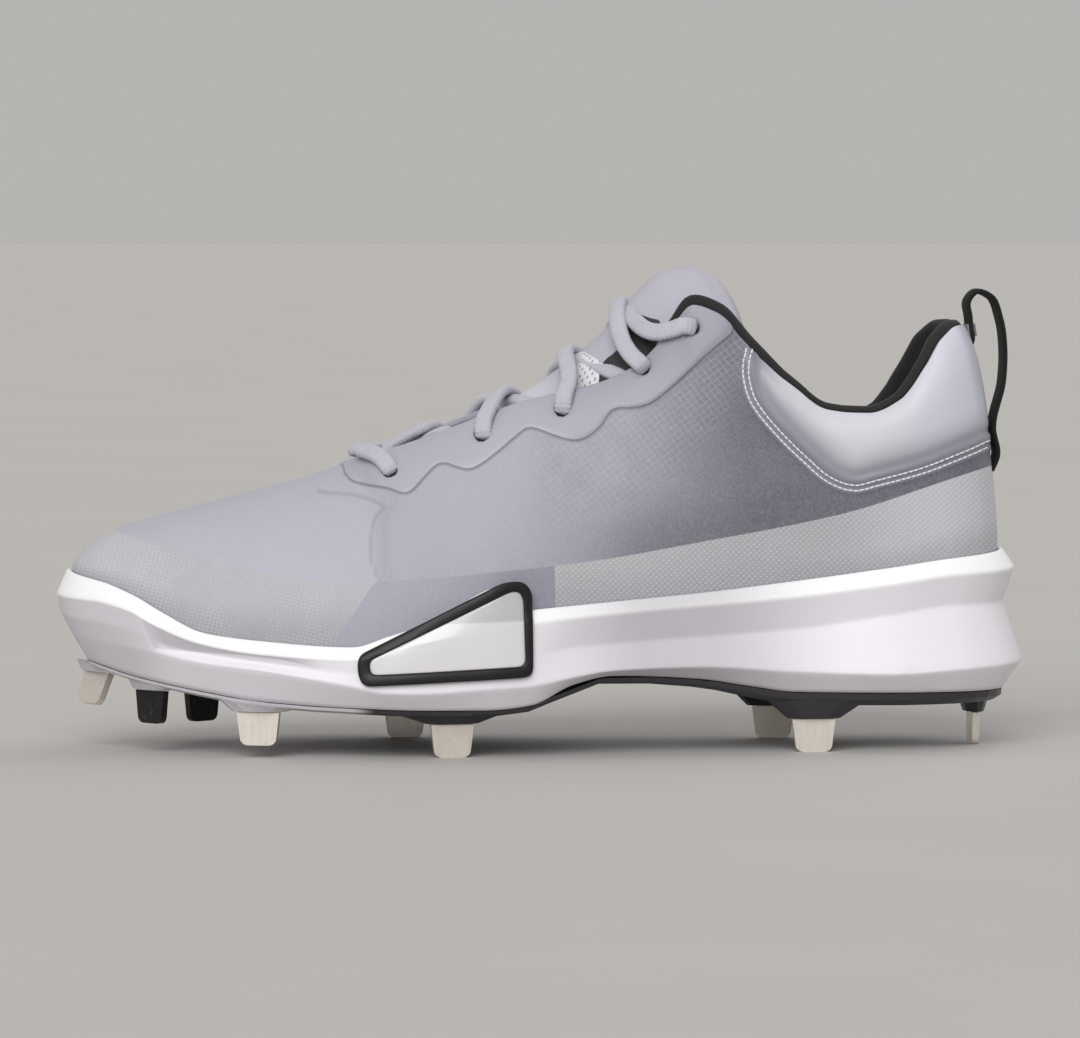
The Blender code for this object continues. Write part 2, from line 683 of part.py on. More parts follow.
def make_plate(turns, collection, cutters):
    rings = [plate_ring(turns, inset, depth) for inset, depth in PLATE_RINGS]
    finish = material("plate_black", (0.02, 0.02, 0.025), 0.4)
    plate = new_object("plate", loft_mesh("plate", rings, 0), finish, collection)
    pods = [
        make_pod("pod_" + name, along, across, turn, tip, slope, cutters)
        for name, along, across, turn, lean, tip, slope in BLADES
    ]
    unite(plate, pods, cutters)
    return plate


def blade_outline():
    """Blade seen from its flat side, with round corners at the tip, top edge at z = 0."""
    top, foot = BLADE_WIDTH / 2, BLADE_WIDTH / 2 * BLADE_FOOT
    outline = [(top, 0.0)]
    for i in range(5):
        angle = math.radians(22.5 * i)
        outline.append(
            (
                foot - BLADE_CORNER * (1 - math.cos(angle)),
                -BLADE_HEIGHT + BLADE_CORNER * (1 - math.sin(angle)),
            )
        )
    return outline + [(-x, z) for x, z in reversed(outline)]


def make_blades(collection):
    finish = material("blade_steel", (0.55, 0.52, 0.46), 0.28, 1.0)
    outline = blade_outline()
    for name, along, across, turn, lean, tip, slope in BLADES:
        rings = [[(x, side * BLADE_THICK / 2, z) for x, z in outline] for side in (-1, 1)]
        blade = new_object(name, loft_mesh(name, rings, len(outline) - 1), finish, collection)
        tilt = math.radians(lean)
        drop = BLADE_THICK / 2 * math.sin(tilt)
        blade.location = (
            (along - 0.5) * LENGTH,
            across * BALL_WIDTH,
            (tip + 1.0) * BLADE_HEIGHT - drop,
        )
        blade.rotation_mode = "XYZ"
        blade.rotation_euler = (-tilt, 0.0, math.radians(turn))


def make_insole(turns, collection):
    rings = []
    for inset, rise in INSOLE_RINGS:
        ring = []
        for turn in turns:
            edge = cup_inset(turn) + CUP_DRAFT + GAP + WALL + INSOLE_CLEARANCE
            x, y = plan_inset(turn, edge + inset)
            ring.append((x, y, base_level("bed", x) + GAP + rise * INSOLE_THICK))
        rings.append(ring)
    finish = material("insole_black", (0.03, 0.03, 0.035), 0.9)
    return new_object("insole", loft_mesh("insole", rings, 0), finish, collection)


# Window on the outer side


def side_wall_y(x, z):
    """Outer face of the midsole's outer side at a place along and a height."""
    along = x / LENGTH + 0.5
    turn = turn_of(along, "lateral")
    names = ("lower", "groove", "bevel", "top")
    heights = [wall_edge(turn, name)[2] for name in names]
    insets = [WALLS.at("in_" + name, along) * EDGE_DEPTH for name in names]
    return PLAN.at("lateral", along) * BALL_WIDTH + float(np.interp(z, heights, insets))


def window_place(x_share, z_share):
    return np.array([(x_share - 0.5) * LENGTH, side_level(z_share)])


def window_border():
    """Matching points of the border's outer and inner edge."""
    pairs = []
    corners = [(window_place(a, b), window_place(c, d)) for a, b, c, d in WINDOW_CORNERS]
    for (outer, inner), (next_outer, next_inner) in zip(corners, corners[1:] + corners[:1]):
        steps = max(1, round(float(np.linalg.norm(next_outer - outer)) / WINDOW_STEP))
        for k in range(steps):
            t = k / steps
            pairs.append((outer + t * (next_outer - outer), inner + t * (next_inner - inner)))
    return pairs


def on_side(place, proud):
    x, z = place
    return (x, side_wall_y(x, z) - proud, z)


def make_window(collection):
    pairs = window_border()
    loops = [
        [on_side(outer, FRAME_PROUD) for outer, inner in pairs],
        [on_side(inner, FRAME_PROUD) for outer, inner in pairs],
        [on_side(inner, WINDOW_CLEARANCE) for outer, inner in pairs],
        [on_side(outer, WINDOW_CLEARANCE) for outer, inner in pairs],
    ]
    black = material("window_black", (0.03, 0.03, 0.035), 0.4)
    new_object("window_frame", band_mesh("window_frame", loops), black, collection)
    inner = [pair[1] for pair in pairs]
    left = min(point[0] for point in inner) + GAP
    right = max(point[0] for point in inner) - GAP
    columns = max(2, round((right - left) / WINDOW_STEP))
    rings = []
    for k in range(columns + 1):
        x = left + (right - left) * k / columns
        crossings = []
        for (x0, z0), (x1, z1) in zip(inner, inner[1:] + inner[:1]):
            if min(x0, x1) <= x <= max(x0, x1) and abs(x1 - x0) > 1e-9:
                crossings.append(z0 + (z1 - z0) * (x - x0) / (x1 - x0))
        low, high = min(crossings) + GAP, max(crossings) - GAP
        heights = [low + (high - low) * i / 4 for i in range(5)]
        front = [on_side((x, z), PANEL_PROUD) for z in heights]
        back = [on_side((x, z), WINDOW_CLEARANCE) for z in reversed(heights)]
        rings.append(front + back)
    pearl = material("window_pearl", (0.80, 0.80, 0.78), 0.35)
    new_object("window_panel", loft_mesh("window_panel", rings, len(rings[0]) - 1), pearl, collection)


# The upper and what is in it


def section_steps(turn):
    """Places up a section: even below the overlay's edge, two at that edge, even above it."""
    seam = seam_t(turn)
    below = [seam * k / 6 for k in range(6)]
    above = [seam + SEAM_EDGE + (1.0 - seam - SEAM_EDGE) * k / 4 for k in range(5)]
    return below + [seam] + above


def make_upper(turns, collection):
    """One hollow wall, open at the throat and collar and underneath."""
    work = bmesh.new()
    sheets = []
    for depth in (0.0, WALL):
        columns = []
        ridge = {}
        for turn in turns:
            points = [feather_point(turn, depth)]
            points += [upper_point(turn, t, depth) for t in section_steps(turn)]
            along = round(along_of(turn), 6)
            if along in ridge:
                ridge[along].co = (ridge[along].co + Vector(points.pop())) / 2
                columns.append([work.verts.new(point) for point in points] + [ridge[along]])
                continue
            columns.append([work.verts.new(point) for point in points])
            if along <= THROAT_FRONT + 1e-6:
                ridge[along] = columns[-1][-1]
        sheets.append(columns)
    for columns in sheets:
        for i, column in enumerate(columns):
            bridge(work, column, columns[(i + 1) % len(columns)], False)
    outer, inner = sheets
    for i in range(len(turns)):
        j = (i + 1) % len(turns)
        work.faces.new((outer[i][0], outer[j][0], inner[j][0], inner[i][0]))
        opens = max(along_of(turns[i]), along_of(turns[j])) > THROAT_FRONT + 1e-6
        if opens:
            work.faces.new((outer[i][-1], outer[j][-1], inner[j][-1], inner[i][-1]))
    finish = material("upper_grey", (0.50, 0.50, 0.56), 0.7)
    return new_object("upper", finish_mesh("upper", work), finish, collection)


def make_lining(turns, collection):
    inner = WALL + GAP
    deep = inner + LINING
    rings = []
    for turn in turns:
        if along_of(turn) < COLLAR_FRONT - 1e-6:
            continue
        steps = section_steps(turn)[LINING_FROM:]
        outer_side = [upper_point(turn, t, depth=inner) for t in steps]
        roll = [upper_point(turn, 1.0, depth=a * deep, above=b * PIPING) for a, b in PIPING_ROLL]
        inner_side = [upper_point(turn, t, depth=deep) for t in reversed(steps[:-1])]
        inside_rim = [upper_point(turn, 1.0, depth=inner, above=GAP)]
        rings.append(outer_side + inside_rim + roll + inner_side)
    finish = material("lining_black", (0.02, 0.02, 0.022), 0.85)
    work = bmesh.new()
    loops = [[work.verts.new(point) for point in ring] for ring in rings]
    for lower, upper in zip(loops, loops[1:]):
        bridge(work, lower, upper, True)
    for loop in (loops[0], loops[-1]):
        work.faces.new(loop)
    return new_object("collar_lining", finish_mesh("collar_lining", work), finish, collection)


def tongue_face(run, u):
    """Point of the tongue's outer face, u from -1 at its outer edge to 1 at its inner edge."""
    bend = abs(u) ** 2.0
    return np.array(
        [
            (TONGUE.at("x", run) - 0.5) * LENGTH + TONGUE.at("back", run) * EDGE_DEPTH * bend,
            (TONGUE.at("middle", run) + TONGUE.at("half", run) * u) * BALL_WIDTH,
            upper_level(TONGUE.at("z", run)) - WALL - TONGUE.at("drop", run) * EDGE_DEPTH * bend,
        ]
    )


def tongue_normal(run, u, reach=0.01):
    low, high = max(run - reach, 0.0), min(run + reach, 1.0)
    up = tongue_face(high, u) - tongue_face(low, u)
    across = tongue_face(run, u + reach) - tongue_face(run, u - reach)
    normal = np.cross(up, across)
    return normal / np.linalg.norm(normal)


def make_tongue(collection):
    spread = [math.sin(math.radians(a)) for a in (-90, -68, -45, -23, 0, 23, 45, 68, 90)]
    runs = [i / 13 for i in range(14)]
    rings = []
    for run in runs:
        thick = TONGUE_THICK + TONGUE_PAD * TONGUE.at("pad", run)
        face = [tongue_face(run, u) for u in spread]
        back = [
            tongue_face(run, u) - tongue_normal(run, u) * thick * (1.0 - TONGUE_EDGE_THIN * u**4)
            for u in reversed(spread)
        ]
        rings.append(face + back)
    crest = list(rings[-1])
    inner = len(spread)
    for i in range(inner):
        face, back = rings[-1][i], rings[-1][2 * inner - 1 - i]
        lift = (rings[-1][i] - rings[-2][i]) * TONGUE_END
        crest[i] = face + 0.25 * (back - face) + lift
        crest[2 * inner - 1 - i] = face + 0.75 * (back - face) + lift
    rings.append(crest)
    finish = material("tongue_grey", (0.62, 0.61, 0.66), 0.75)
    return new_object("tongue", loft_mesh("tongue", rings, len(rings[0]) - 1), finish, collection)


# Laces


def eyelet_place(name, side):
    for label, along, below in EYELETS:
        if label == name:
            return turn_of(along, side), 1.0 - below
    return None


def strand_to_eyelet(name, side):
    """From the rim down the eyestay to the eyelet."""
    turn, t = eyelet_place(name, side)
    low = upper_point(turn, t, depth=-(LACE_RADIUS + LACE_CLEARANCE))
    rim = upper_point(turn, 1.0, depth=-(LACE_RADIUS + RIM_CLEARANCE))
    return [rim, low]


def over_tongue(run, u=0.0):
    return tongue_face(run, u) + tongue_normal(run, u) * (LACE_RADIUS + TONGUE_CLEARANCE)


def under_rim(along, side):
    """Between the tongue and the rim, where a lower strand goes in."""
    turn = turn_of(along, side)
    return upper_point(turn, 1.0, depth=0.5 * WALL, above=LACE_RADIUS + STRAND_CLEARANCE)


def make_strand(name, points, cutters):
    return tube_mesh(name, smooth_path(points, 14), LACE_RADIUS, cutters)


def make_laces(collection, cutters):
    finish = material("lace_grey", (0.52, 0.52, 0.55), 0.8)
    middle = over_tongue(BAR_RUN)
    rim = upper_point(turn_of(EYELETS[0][1], "lateral"), 1.0)
    middle[2] = rim[2] + LACE_RADIUS + BAR_CLEARANCE
    bar = list(reversed(strand_to_eyelet("first", "lateral"))) + [middle]
    bar += strand_to_eyelet("first", "medial")
    new_object("lace_bar", make_strand("lace_bar", bar, cutters), finish, collection)
    for (name, run, over, under), row in zip(CROSSINGS, ("first", "second", "third")):
        strands = []
        for side, other in (("lateral", "medial"), ("medial", "lateral")):
            cross = 1.0 if other == "medial" else -1.0
            points = [
                over_tongue(run - TONGUE_LEAN, -TONGUE_SIDE * cross),
                over_tongue(run),
                over_tongue(run + TONGUE_LEAN, TONGUE_SIDE * cross),
                under_rim(under, other),
            ]
            if row != "first":
                points = list(reversed(strand_to_eyelet(row, side))) + points
            else:
                points = [under_rim(over, side)] + points
            strands.append(make_strand(name + "_" + side, points, cutters))
        crossing = new_object(name, strands[0], finish, collection)
        unite(crossing, [bpy.data.objects.new(name + "_join", strands[1])], cutters)
    strands = []
    for side, other in (("lateral", "medial"), ("medial", "lateral")):
        points = list(reversed(strand_to_eyelet("fourth", side))) + [over_tongue(LAST_CROSSING)]
        points += strand_to_eyelet("fifth", other)
        strands.append(make_strand("lace_cross_4_" + side, points, cutters))
    crossing = new_object("lace_cross_4", strands[0], finish, collection)
    unite(crossing, [bpy.data.objects.new("lace_cross_4_join", strands[1])], cutters)


# Pull loop


def heel_back(t, off):
    return upper_point(1.0, t, depth=-off)


def make_pull_loop(collection):
    off = GAP + LOOP_THICK / 2
    rim = section_point(1.0, 1.0)
    points = [heel_back(0.86, off), heel_back(0.97, off)]
    for out, up in LOOP_PLACES:
        points.append(rim + np.array([out * LOOP_REACH, 0.0, up * LOOP_RISE]))
    points += [heel_back(0.50, off), heel_back(0.36, off)]
    path = smooth_path([(point[0], 0.0, point[2]) for point in points], 34)
    rings = []
    for i, point in enumerate(path):
        run = path[min(i + 1, len(path) - 1)] - path[max(i - 1, 0)]
        side = np.array([-run[2], 0.0, run[0]])
        side = side / np.linalg.norm(side) * LOOP_THICK / 2
        half = np.array([0.0, LOOP_WIDTH / 2, 0.0])
        rings.append([point + side - half, point + side + half, point - side + half, point - side - half])
    finish = material("webbing_black", (0.02, 0.02, 0.02), 0.85)
    return new_object("pull_loop", loft_mesh("pull_loop", rings, 3), finish, collection)


def stand_over_origin(collections, shown):
    """Move everything so that the middle of the whole stands over the origin."""
    bpy.context.view_layer.update()
    graph = bpy.context.evaluated_depsgraph_get()
    lows, highs = [], []
    for thing in shown.objects:
        corners = [thing.matrix_world @ Vector(c) for c in thing.evaluated_get(graph).bound_box]
        lows.append(np.min(corners, axis=0))
        highs.append(np.max(corners, axis=0))
    middle = (np.min(lows, axis=0) + np.max(highs, axis=0)) / 2
    for collection in collections:
        for thing in collection.objects:
            thing.location.x -= middle[0]
            thing.location.y -= middle[1]


def main():
    for thing in list(bpy.data.objects):
        bpy.data.objects.remove(thing)
    shoe = bpy.data.collections.new("baseball_cleat")
    cutters = bpy.data.collections.new("joined_shapes")
    for collection in (shoe, cutters):
        bpy.context.scene.collection.children.link(collection)
    turns = station_turns()
    make_midsole(turns, shoe)
    make_plate(turns, shoe, cutters)
    make_blades(shoe)
    make_insole(turns, shoe)
    make_window(shoe)
    make_upper(turns, shoe)
    make_lining(turns, shoe)
    make_tongue(shoe)
    make_laces(shoe, cutters)
    make_pull_loop(shoe)
    stand_over_origin((shoe, cutters), shoe)


main()
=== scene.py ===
"""Looks of the baseball cleat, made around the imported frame.

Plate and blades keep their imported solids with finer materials, and every other piece is made here.
The shoe's surfaces are worked out in millimetres from the tables of the part's source, with three
changes for the looks: the foam's walls just behind the toe (WALLS), a lower collar rim (RIM_DIP)
and a thinner pull loop (LOOP_THICK). The panels' edges are lines of the side view, laid on those
surfaces.
"""

import math
from contextlib import contextmanager

import bmesh
import bpy
import numpy as np
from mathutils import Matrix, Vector
from mathutils.bvhtree import BVHTree


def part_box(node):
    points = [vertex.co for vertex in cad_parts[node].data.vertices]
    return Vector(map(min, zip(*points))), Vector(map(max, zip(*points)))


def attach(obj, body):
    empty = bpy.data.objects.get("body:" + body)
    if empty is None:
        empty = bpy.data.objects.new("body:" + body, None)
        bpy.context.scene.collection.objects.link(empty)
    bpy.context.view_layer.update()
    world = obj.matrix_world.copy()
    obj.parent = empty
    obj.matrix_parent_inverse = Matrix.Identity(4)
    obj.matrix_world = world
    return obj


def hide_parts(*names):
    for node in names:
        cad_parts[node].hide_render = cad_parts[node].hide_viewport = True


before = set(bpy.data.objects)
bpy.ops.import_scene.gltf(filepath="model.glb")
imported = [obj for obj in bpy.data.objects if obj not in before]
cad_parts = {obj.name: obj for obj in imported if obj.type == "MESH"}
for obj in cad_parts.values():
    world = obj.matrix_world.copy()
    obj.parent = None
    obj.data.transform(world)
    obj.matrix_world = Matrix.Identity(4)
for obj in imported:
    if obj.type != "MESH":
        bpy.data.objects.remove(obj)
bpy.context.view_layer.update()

MM = 0.001

# Sizes in millimetres
LENGTH = 299.0
BALL_WIDTH = 106.0
SIDE_HEIGHT = 46.0
EDGE_DEPTH = 10.0
UPPER_HEIGHT = 123.0
UNDERSIDE = 14.0  # level that heights are measured from
GAP = 0.3
WALL = 2.0
LIP = 1.2
CUP_DRAFT = 1.0
OVERLAY = 0.9
COLLAR_PAD = 3.2
LINING = 3.2
PIPING = 2.4
INSOLE_THICK = 4.2
INSOLE_CLEARANCE = 0.5
TONGUE_THICK = 3.0
TONGUE_PAD = 4.0
BAND_WIDE = 5.3
BAND_THICK = 3.1

ROUND = 720  # stations round the shoe in the visible surfaces
RISES = 96  # rows from the midsole to the rim

# View of the photograph: where the camera stands (mm), its turn and tilt, and its focal length in
# pixels of a 1080 x 1038 picture
CAMERA_DISTANCE = 1900.0
CAMERA_HEIGHT = 160.0
CAMERA_YAW = math.radians(-5.0)
CAMERA_TILT = math.radians(2.7)
FOCAL = 6160.0
FRAME_SIZE = (1080, 1038)
CENTRE = (542.5, 519.0)
PIXELS_PER_MM = 3.27  # on the side of the shoe that the camera sees
SENSOR_WIDTH = 36.0

# Studio: half the floor's width in metres, and each sun's place, strength, colour and angle
FLOOR_REACH = 60.0
SUNS = (
    ("key", (-0.30, -1.0, 0.66), 2.1, (1.0, 0.997, 0.995), 44.0),
    ("fill", (0.9, 0.7, 1.0), 0.45, (0.97, 0.98, 1.0), 60.0),
)

# Relief of the upper in mm: soft edges of the overlays, eyelets and seams
EDGE_SOFT = (-0.9, 0.5)  # from outside an overlay's edge to inside it
PANEL_SHARE = 0.7  # the collar panel's step as a share of the eyestay's
HOLE_SINK = 1.3
HOLE_EDGE = (1.7, 2.8)
SEAM_SINK = 0.30
DOUBLE_SINK = 0.15
SEAM_WIDE = 0.8
INNER_ROWS = 14  # rows down the inside of the upper's wall
MASK_REACH = 40.0
FAR = 99.0  # distance from a line, where there is none near

# Tongue: its crown, the channel under the lobe, and the lobe's rings and rounded end
TONGUE_CROWN = 0.8
TONGUE_CHANNEL = (-0.5, 0.76, 0.012)  # depth, place along the tongue and half width
TONGUE_EDGE_THIN = 0.45
LOBE_RINGS = 30
LOBE_SAMPLES = 400
LOBE_END = 0.8  # share of the lobe at which its end starts to round

# Rows of thread: distance from the panel's edge and length of a stitch in pixels; radii and the
# longest stitch in mm
THREAD_ROWS = (2.6, 8.2)
STITCH = 5.4
THREAD_RADII = (0.27, 0.24)
LONGEST_STITCH = 6.0

BLADE_BEVEL = 0.28


# Tables of the surfaces: those of the part's source, without the columns that only it needs.
# WALLS has the rows 0.088 and 0.102 of its own, and differs a little at 0.142.


class Table:
    """Rows of shares under named columns, read as smooth curves of the first column."""

    def __init__(self, columns, rows, ends_round=True):
        self.columns = columns
        self.ends_round = ends_round
        self.values = np.array(rows, float)
        self.where = self.abscissa(self.values[:, 0])
        self.slopes = [self.column_slopes(self.values[:, i]) for i in range(len(columns))]

    def abscissa(self, share):
        if not self.ends_round:
            return np.asarray(share, float)
        return np.arccos(np.clip(1.0 - 2.0 * np.asarray(share, float), -1.0, 1.0))

    def column_slopes(self, ys):
        steps = np.diff(self.where)
        rises = np.diff(ys) / steps
        slopes = np.empty(len(ys))
        slopes[0], slopes[-1] = rises[0], rises[-1]
        for i in range(1, len(ys) - 1):
            before, after = rises[i - 1], rises[i]
            if before * after <= 0.0:
                slopes[i] = 0.0
            else:
                first = 2.0 * steps[i] + steps[i - 1]
                second = steps[i] + 2.0 * steps[i - 1]
                slopes[i] = (first + second) / (first / before + second / after)
        return slopes

    def at(self, name, share):
        i = self.columns.index(name)
        x = self.abscissa(np.clip(share, 0.0, 1.0))
        k = np.clip(np.searchsorted(self.where, x) - 1, 0, len(self.where) - 2)
        width = self.where[k + 1] - self.where[k]
        t = np.clip((x - self.where[k]) / width, 0.0, 1.0)
        y0, y1 = self.values[k, i], self.values[k + 1, i]
        m0, m1 = self.slopes[i][k] * width, self.slopes[i][k + 1] * width
        t2, t3 = t * t, t * t * t
        ends = (2 * t3 - 3 * t2 + 1) * y0 + (3 * t2 - 2 * t3) * y1
        return ends + (t3 - 2 * t2 + t) * m0 + (t3 - t2) * m1


PLAN = Table(
    ("along", "lateral", "medial"),
    (
        (0.000, 0.075, 0.075),
        (0.012, -0.066, 0.208),
        (0.035, -0.160, 0.292),
        (0.072, -0.259, 0.363),
        (0.142, -0.368, 0.439),
        (0.202, -0.429, 0.476),
        (0.293, -0.481, 0.500),
        (0.360, -0.500, 0.486),
        (0.430, -0.490, 0.443),
        (0.500, -0.453, 0.392),
        (0.560, -0.415, 0.354),
        (0.650, -0.377, 0.330),
        (0.750, -0.363, 0.335),
        (0.850, -0.354, 0.344),
        (0.920, -0.311, 0.311),
        (0.965, -0.231, 0.231),
        (0.990, -0.127, 0.127),
        (1.000, 0.000, 0.000),
    ),
)

WALLS = Table(
    (
        "along", "lower", "groove", "bevel", "top",
        "in_bottom", "in_lower", "in_groove", "in_bevel", "in_top",
    ),
    (
        (0.000, 0.470, 0.610, 0.740, 0.898, 0.93, 0.45, 0.12, 0.00, 0.32),
        (0.035, 0.440, 0.576, 0.728, 0.837, 0.90, 0.40, 0.12, 0.00, 0.32),
        (0.072, 0.409, 0.533, 0.670, 0.748, 0.85, 0.30, 0.12, 0.00, 0.32),
        (0.088, 0.392, 0.500, 0.610, 0.690, 0.84, 0.24, 0.10, 0.02, 0.32),
        (0.102, 0.378, 0.440, 0.560, 0.640, 0.83, 0.20, 0.30, 0.06, 0.32),
        (0.142, 0.332, 0.385, 0.461, 0.522, 0.80, 0.12, 0.32, 0.08, 0.32),
        (0.202, 0.289, 0.333, 0.398, 0.474, 0.80, 0.06, 0.30, 0.08, 0.32),
        (0.293, 0.185, 0.272, 0.370, 0.439, 0.70, 0.03, 0.10, 0.08, 0.32),
        (0.330, 0.141, 0.261, 0.413, 0.511, 0.65, 0.02, 0.06, 0.12, 0.32),
        (0.360, 0.137, 0.272, 0.467, 0.565, 0.62, 0.02, 0.06, 0.14, 0.32),
        (0.430, 0.163, 0.326, 0.543, 0.630, 0.60, 0.02, 0.08, 0.16, 0.32),
        (0.475, 0.180, 0.380, 0.598, 0.672, 0.55, 0.03, 0.10, 0.16, 0.34),
        (0.520, 0.230, 0.420, 0.630, 0.696, 0.55, 0.06, 0.32, 0.12, 0.38),
        (0.560, 0.267, 0.439, 0.652, 0.717, 0.56, 0.06, 0.36, 0.12, 0.40),
        (0.650, 0.283, 0.478, 0.696, 0.767, 0.60, 0.06, 0.40, 0.14, 0.44),
        (0.750, 0.246, 0.522, 0.750, 0.841, 0.65, 0.03, 0.48, 0.18, 0.50),
        (0.850, 0.224, 0.609, 0.826, 0.924, 0.70, 0.00, 0.56, 0.22, 0.56),
        (0.920, 0.246, 0.663, 0.880, 0.978, 0.70, 0.00, 0.60, 0.24, 0.60),
        (1.000, 0.280, 0.674, 0.902, 1.025, 0.60, 0.00, 0.60, 0.24, 0.62),
    ),
)

BASE = Table(
    ("along", "bottom", "bed"),
    (
        (0.000, 0.345, 0.696),
        (0.035, 0.289, 0.630),
        (0.072, 0.224, 0.543),
        (0.142, 0.135, 0.391),
        (0.202, 0.074, 0.326),
        (0.293, 0.035, 0.272),
        (0.360, 0.020, 0.261),
        (0.430, 0.017, 0.283),
        (0.475, 0.043, 0.304),
        (0.520, 0.174, 0.337),
        (0.560, 0.226, 0.370),
        (0.650, 0.196, 0.435),
        (0.700, 0.148, 0.467),
        (0.750, 0.104, 0.500),
        (0.850, 0.091, 0.565),
        (0.920, 0.087, 0.598),
        (1.000, 0.074, 0.609),
    ),
)

RISE = Table(
    ("along", "top"),
    (
        (0.000, 0.000),
        (0.300, 0.380),
        (0.333, 0.500),
        (0.383, 0.640),
        (0.446, 0.835),
        (0.4699, 0.845),
        (0.4799, 0.500),
        (1.000, 0.000),
    ),
    ends_round=False,
)

UPPER = Table(
    (
        "along", "x", "lateral", "medial", "z",
        "lean", "rise", "weight", "belly", "pad",
    ),
    (
        (0.000, 0.092, 0.075, 0.075, 0.458, 0.05, 0.80, 0.55, 0.0, 0.0),
        (0.035, 0.104, 0.075, 0.075, 0.467, 0.02, 0.88, 0.62, 0.0, 0.0),
        (0.072, 0.125, 0.073, 0.073, 0.480, 0.00, 0.93, 0.68, 0.0, 0.0),
        (0.142, 0.174, 0.066, 0.066, 0.511, 0.00, 0.97, 0.72, 0.0, 0.0),
        (0.202, 0.222, 0.058, 0.058, 0.543, 0.00, 0.98, 0.74, 0.0, 0.0),
        (0.250, 0.259, 0.053, 0.053, 0.567, 0.00, 0.98, 0.72, 0.0, 0.0),
        (0.280, 0.281, 0.047, 0.047, 0.585, 0.00, 0.97, 0.68, 0.0, 0.0),
        (0.308, 0.308, 0.042, 0.042, 0.607, 0.00, 0.95, 0.62, 0.1, 0.0),
        (0.330, 0.326, -0.058, 0.142, 0.621, 0.00, 0.93, 0.60, 0.1, 0.0),
        (0.365, 0.361, -0.096, 0.174, 0.648, 0.00, 0.92, 0.58, 0.1, 0.0),
        (0.430, 0.428, -0.137, 0.193, 0.709, 0.00, 0.88, 0.55, 0.1, 0.0),
        (0.475, 0.473, -0.156, 0.198, 0.750, 0.00, 0.85, 0.55, 0.1, 0.0),
        (0.520, 0.517, -0.170, 0.201, 0.776, 0.00, 0.82, 0.55, 0.1, 0.0),
        (0.560, 0.555, -0.184, 0.206, 0.801, 0.00, 0.79, 0.55, 0.1, 0.0),
        (0.600, 0.594, -0.198, 0.212, 0.850, 0.00, 0.74, 0.55, 0.1, 0.0),
        (0.645, 0.628, -0.212, 0.222, 0.940, 0.00, 0.70, 0.55, 0.1, 0.0),
        (0.668, 0.648, -0.225, 0.228, 0.996, 0.00, 0.68, 0.55, 0.1, 0.0),
        (0.690, 0.672, -0.241, 0.241, 0.976, 0.00, 0.66, 0.58, 0.2, 0.1),
        (0.715, 0.705, -0.259, 0.259, 0.890, 0.00, 0.62, 0.60, 0.2, 0.5),
        (0.745, 0.740, -0.274, 0.268, 0.810, 0.00, 0.60, 0.60, 0.3, 0.9),
        (0.790, 0.784, -0.283, 0.278, 0.748, 0.00, 0.60, 0.60, 0.3, 1.0),
        (0.830, 0.824, -0.278, 0.274, 0.753, 0.00, 0.60, 0.60, 0.3, 1.0),
        (0.870, 0.860, -0.255, 0.255, 0.801, 0.00, 0.60, 0.60, 0.3, 1.0),
        (0.905, 0.886, -0.220, 0.220, 0.874, 0.00, 0.60, 0.60, 0.3, 0.9),
        (0.935, 0.906, -0.175, 0.175, 0.931, 0.00, 0.60, 0.60, 0.2, 0.7),
        (0.965, 0.923, -0.118, 0.118, 0.947, 0.00, 0.60, 0.60, 0.1, 0.5),
        (0.985, 0.933, -0.066, 0.066, 0.943, 0.00, 0.60, 0.60, 0.0, 0.3),
        (1.000, 0.938, 0.000, 0.000, 0.939, 0.00, 0.60, 0.60, 0.0, 0.3),
    ),
)
THROAT_FRONT = 0.308
COLLAR_FRONT = 0.645

# How far the collar's rim sinks below the part's solid: shares of the length, mm on the outer side,
# mm on the inner side. The part's source doesn't have it.
RIM_DIP = (
    (0.760, 0.784, 0.806, 0.831, 0.853, 0.871, 0.890, 0.912, 0.935, 0.962, 0.983),
    (0.0, 1.0, 2.2, 3.0, 4.0, 4.8, 4.7, 4.0, 2.5, 0.8, 0.0),
    (0.0, 2.2, 5.0, 7.0, 8.4, 8.8, 7.8, 5.6, 3.0, 0.8, 0.0),
)

TONGUE = Table(
    ("run", "x", "z", "middle", "half", "drop", "back", "pad"),
    (
        (0.00, 0.286, 0.553, 0.042, 0.132, 0.35, 0.00, 0.0),
        (0.10, 0.319, 0.588, 0.042, 0.151, 0.45, 0.00, 0.0),
        (0.20, 0.353, 0.631, 0.040, 0.170, 0.60, 0.00, 0.0),
        (0.32, 0.394, 0.688, 0.036, 0.184, 0.85, 0.00, 0.1),
        (0.47, 0.457, 0.758, 0.030, 0.186, 1.20, 0.00, 0.2),
        (0.60, 0.513, 0.845, 0.022, 0.180, 1.75, 0.00, 0.4),
        (0.72, 0.559, 0.936, 0.016, 0.165, 1.95, 0.10, 0.6),
        (0.83, 0.598, 1.037, 0.012, 0.155, 1.95, 0.60, 0.9),
        (0.92, 0.627, 1.092, 0.010, 0.150, 1.75, 1.00, 1.2),
        (1.00, 0.655, 1.104, 0.010, 0.142, 1.50, 1.10, 1.0),
    ),
    ends_round=False,
)

WINDOW_CORNERS = (
    (0.2990, 0.263, 0.3110, 0.293),
    (0.3050, 0.187, 0.3144, 0.261),
    (0.4716, 0.239, 0.4649, 0.309),
    (0.4766, 0.278, 0.4686, 0.339),
    (0.4763, 0.793, 0.4669, 0.752),
    (0.4676, 0.867, 0.4622, 0.802),
    (0.4465, 0.861, 0.4532, 0.800),
    (0.2990, 0.387, 0.3110, 0.359),
)
FRAME_PROUD = 1.9
PANEL_PROUD = 1.4

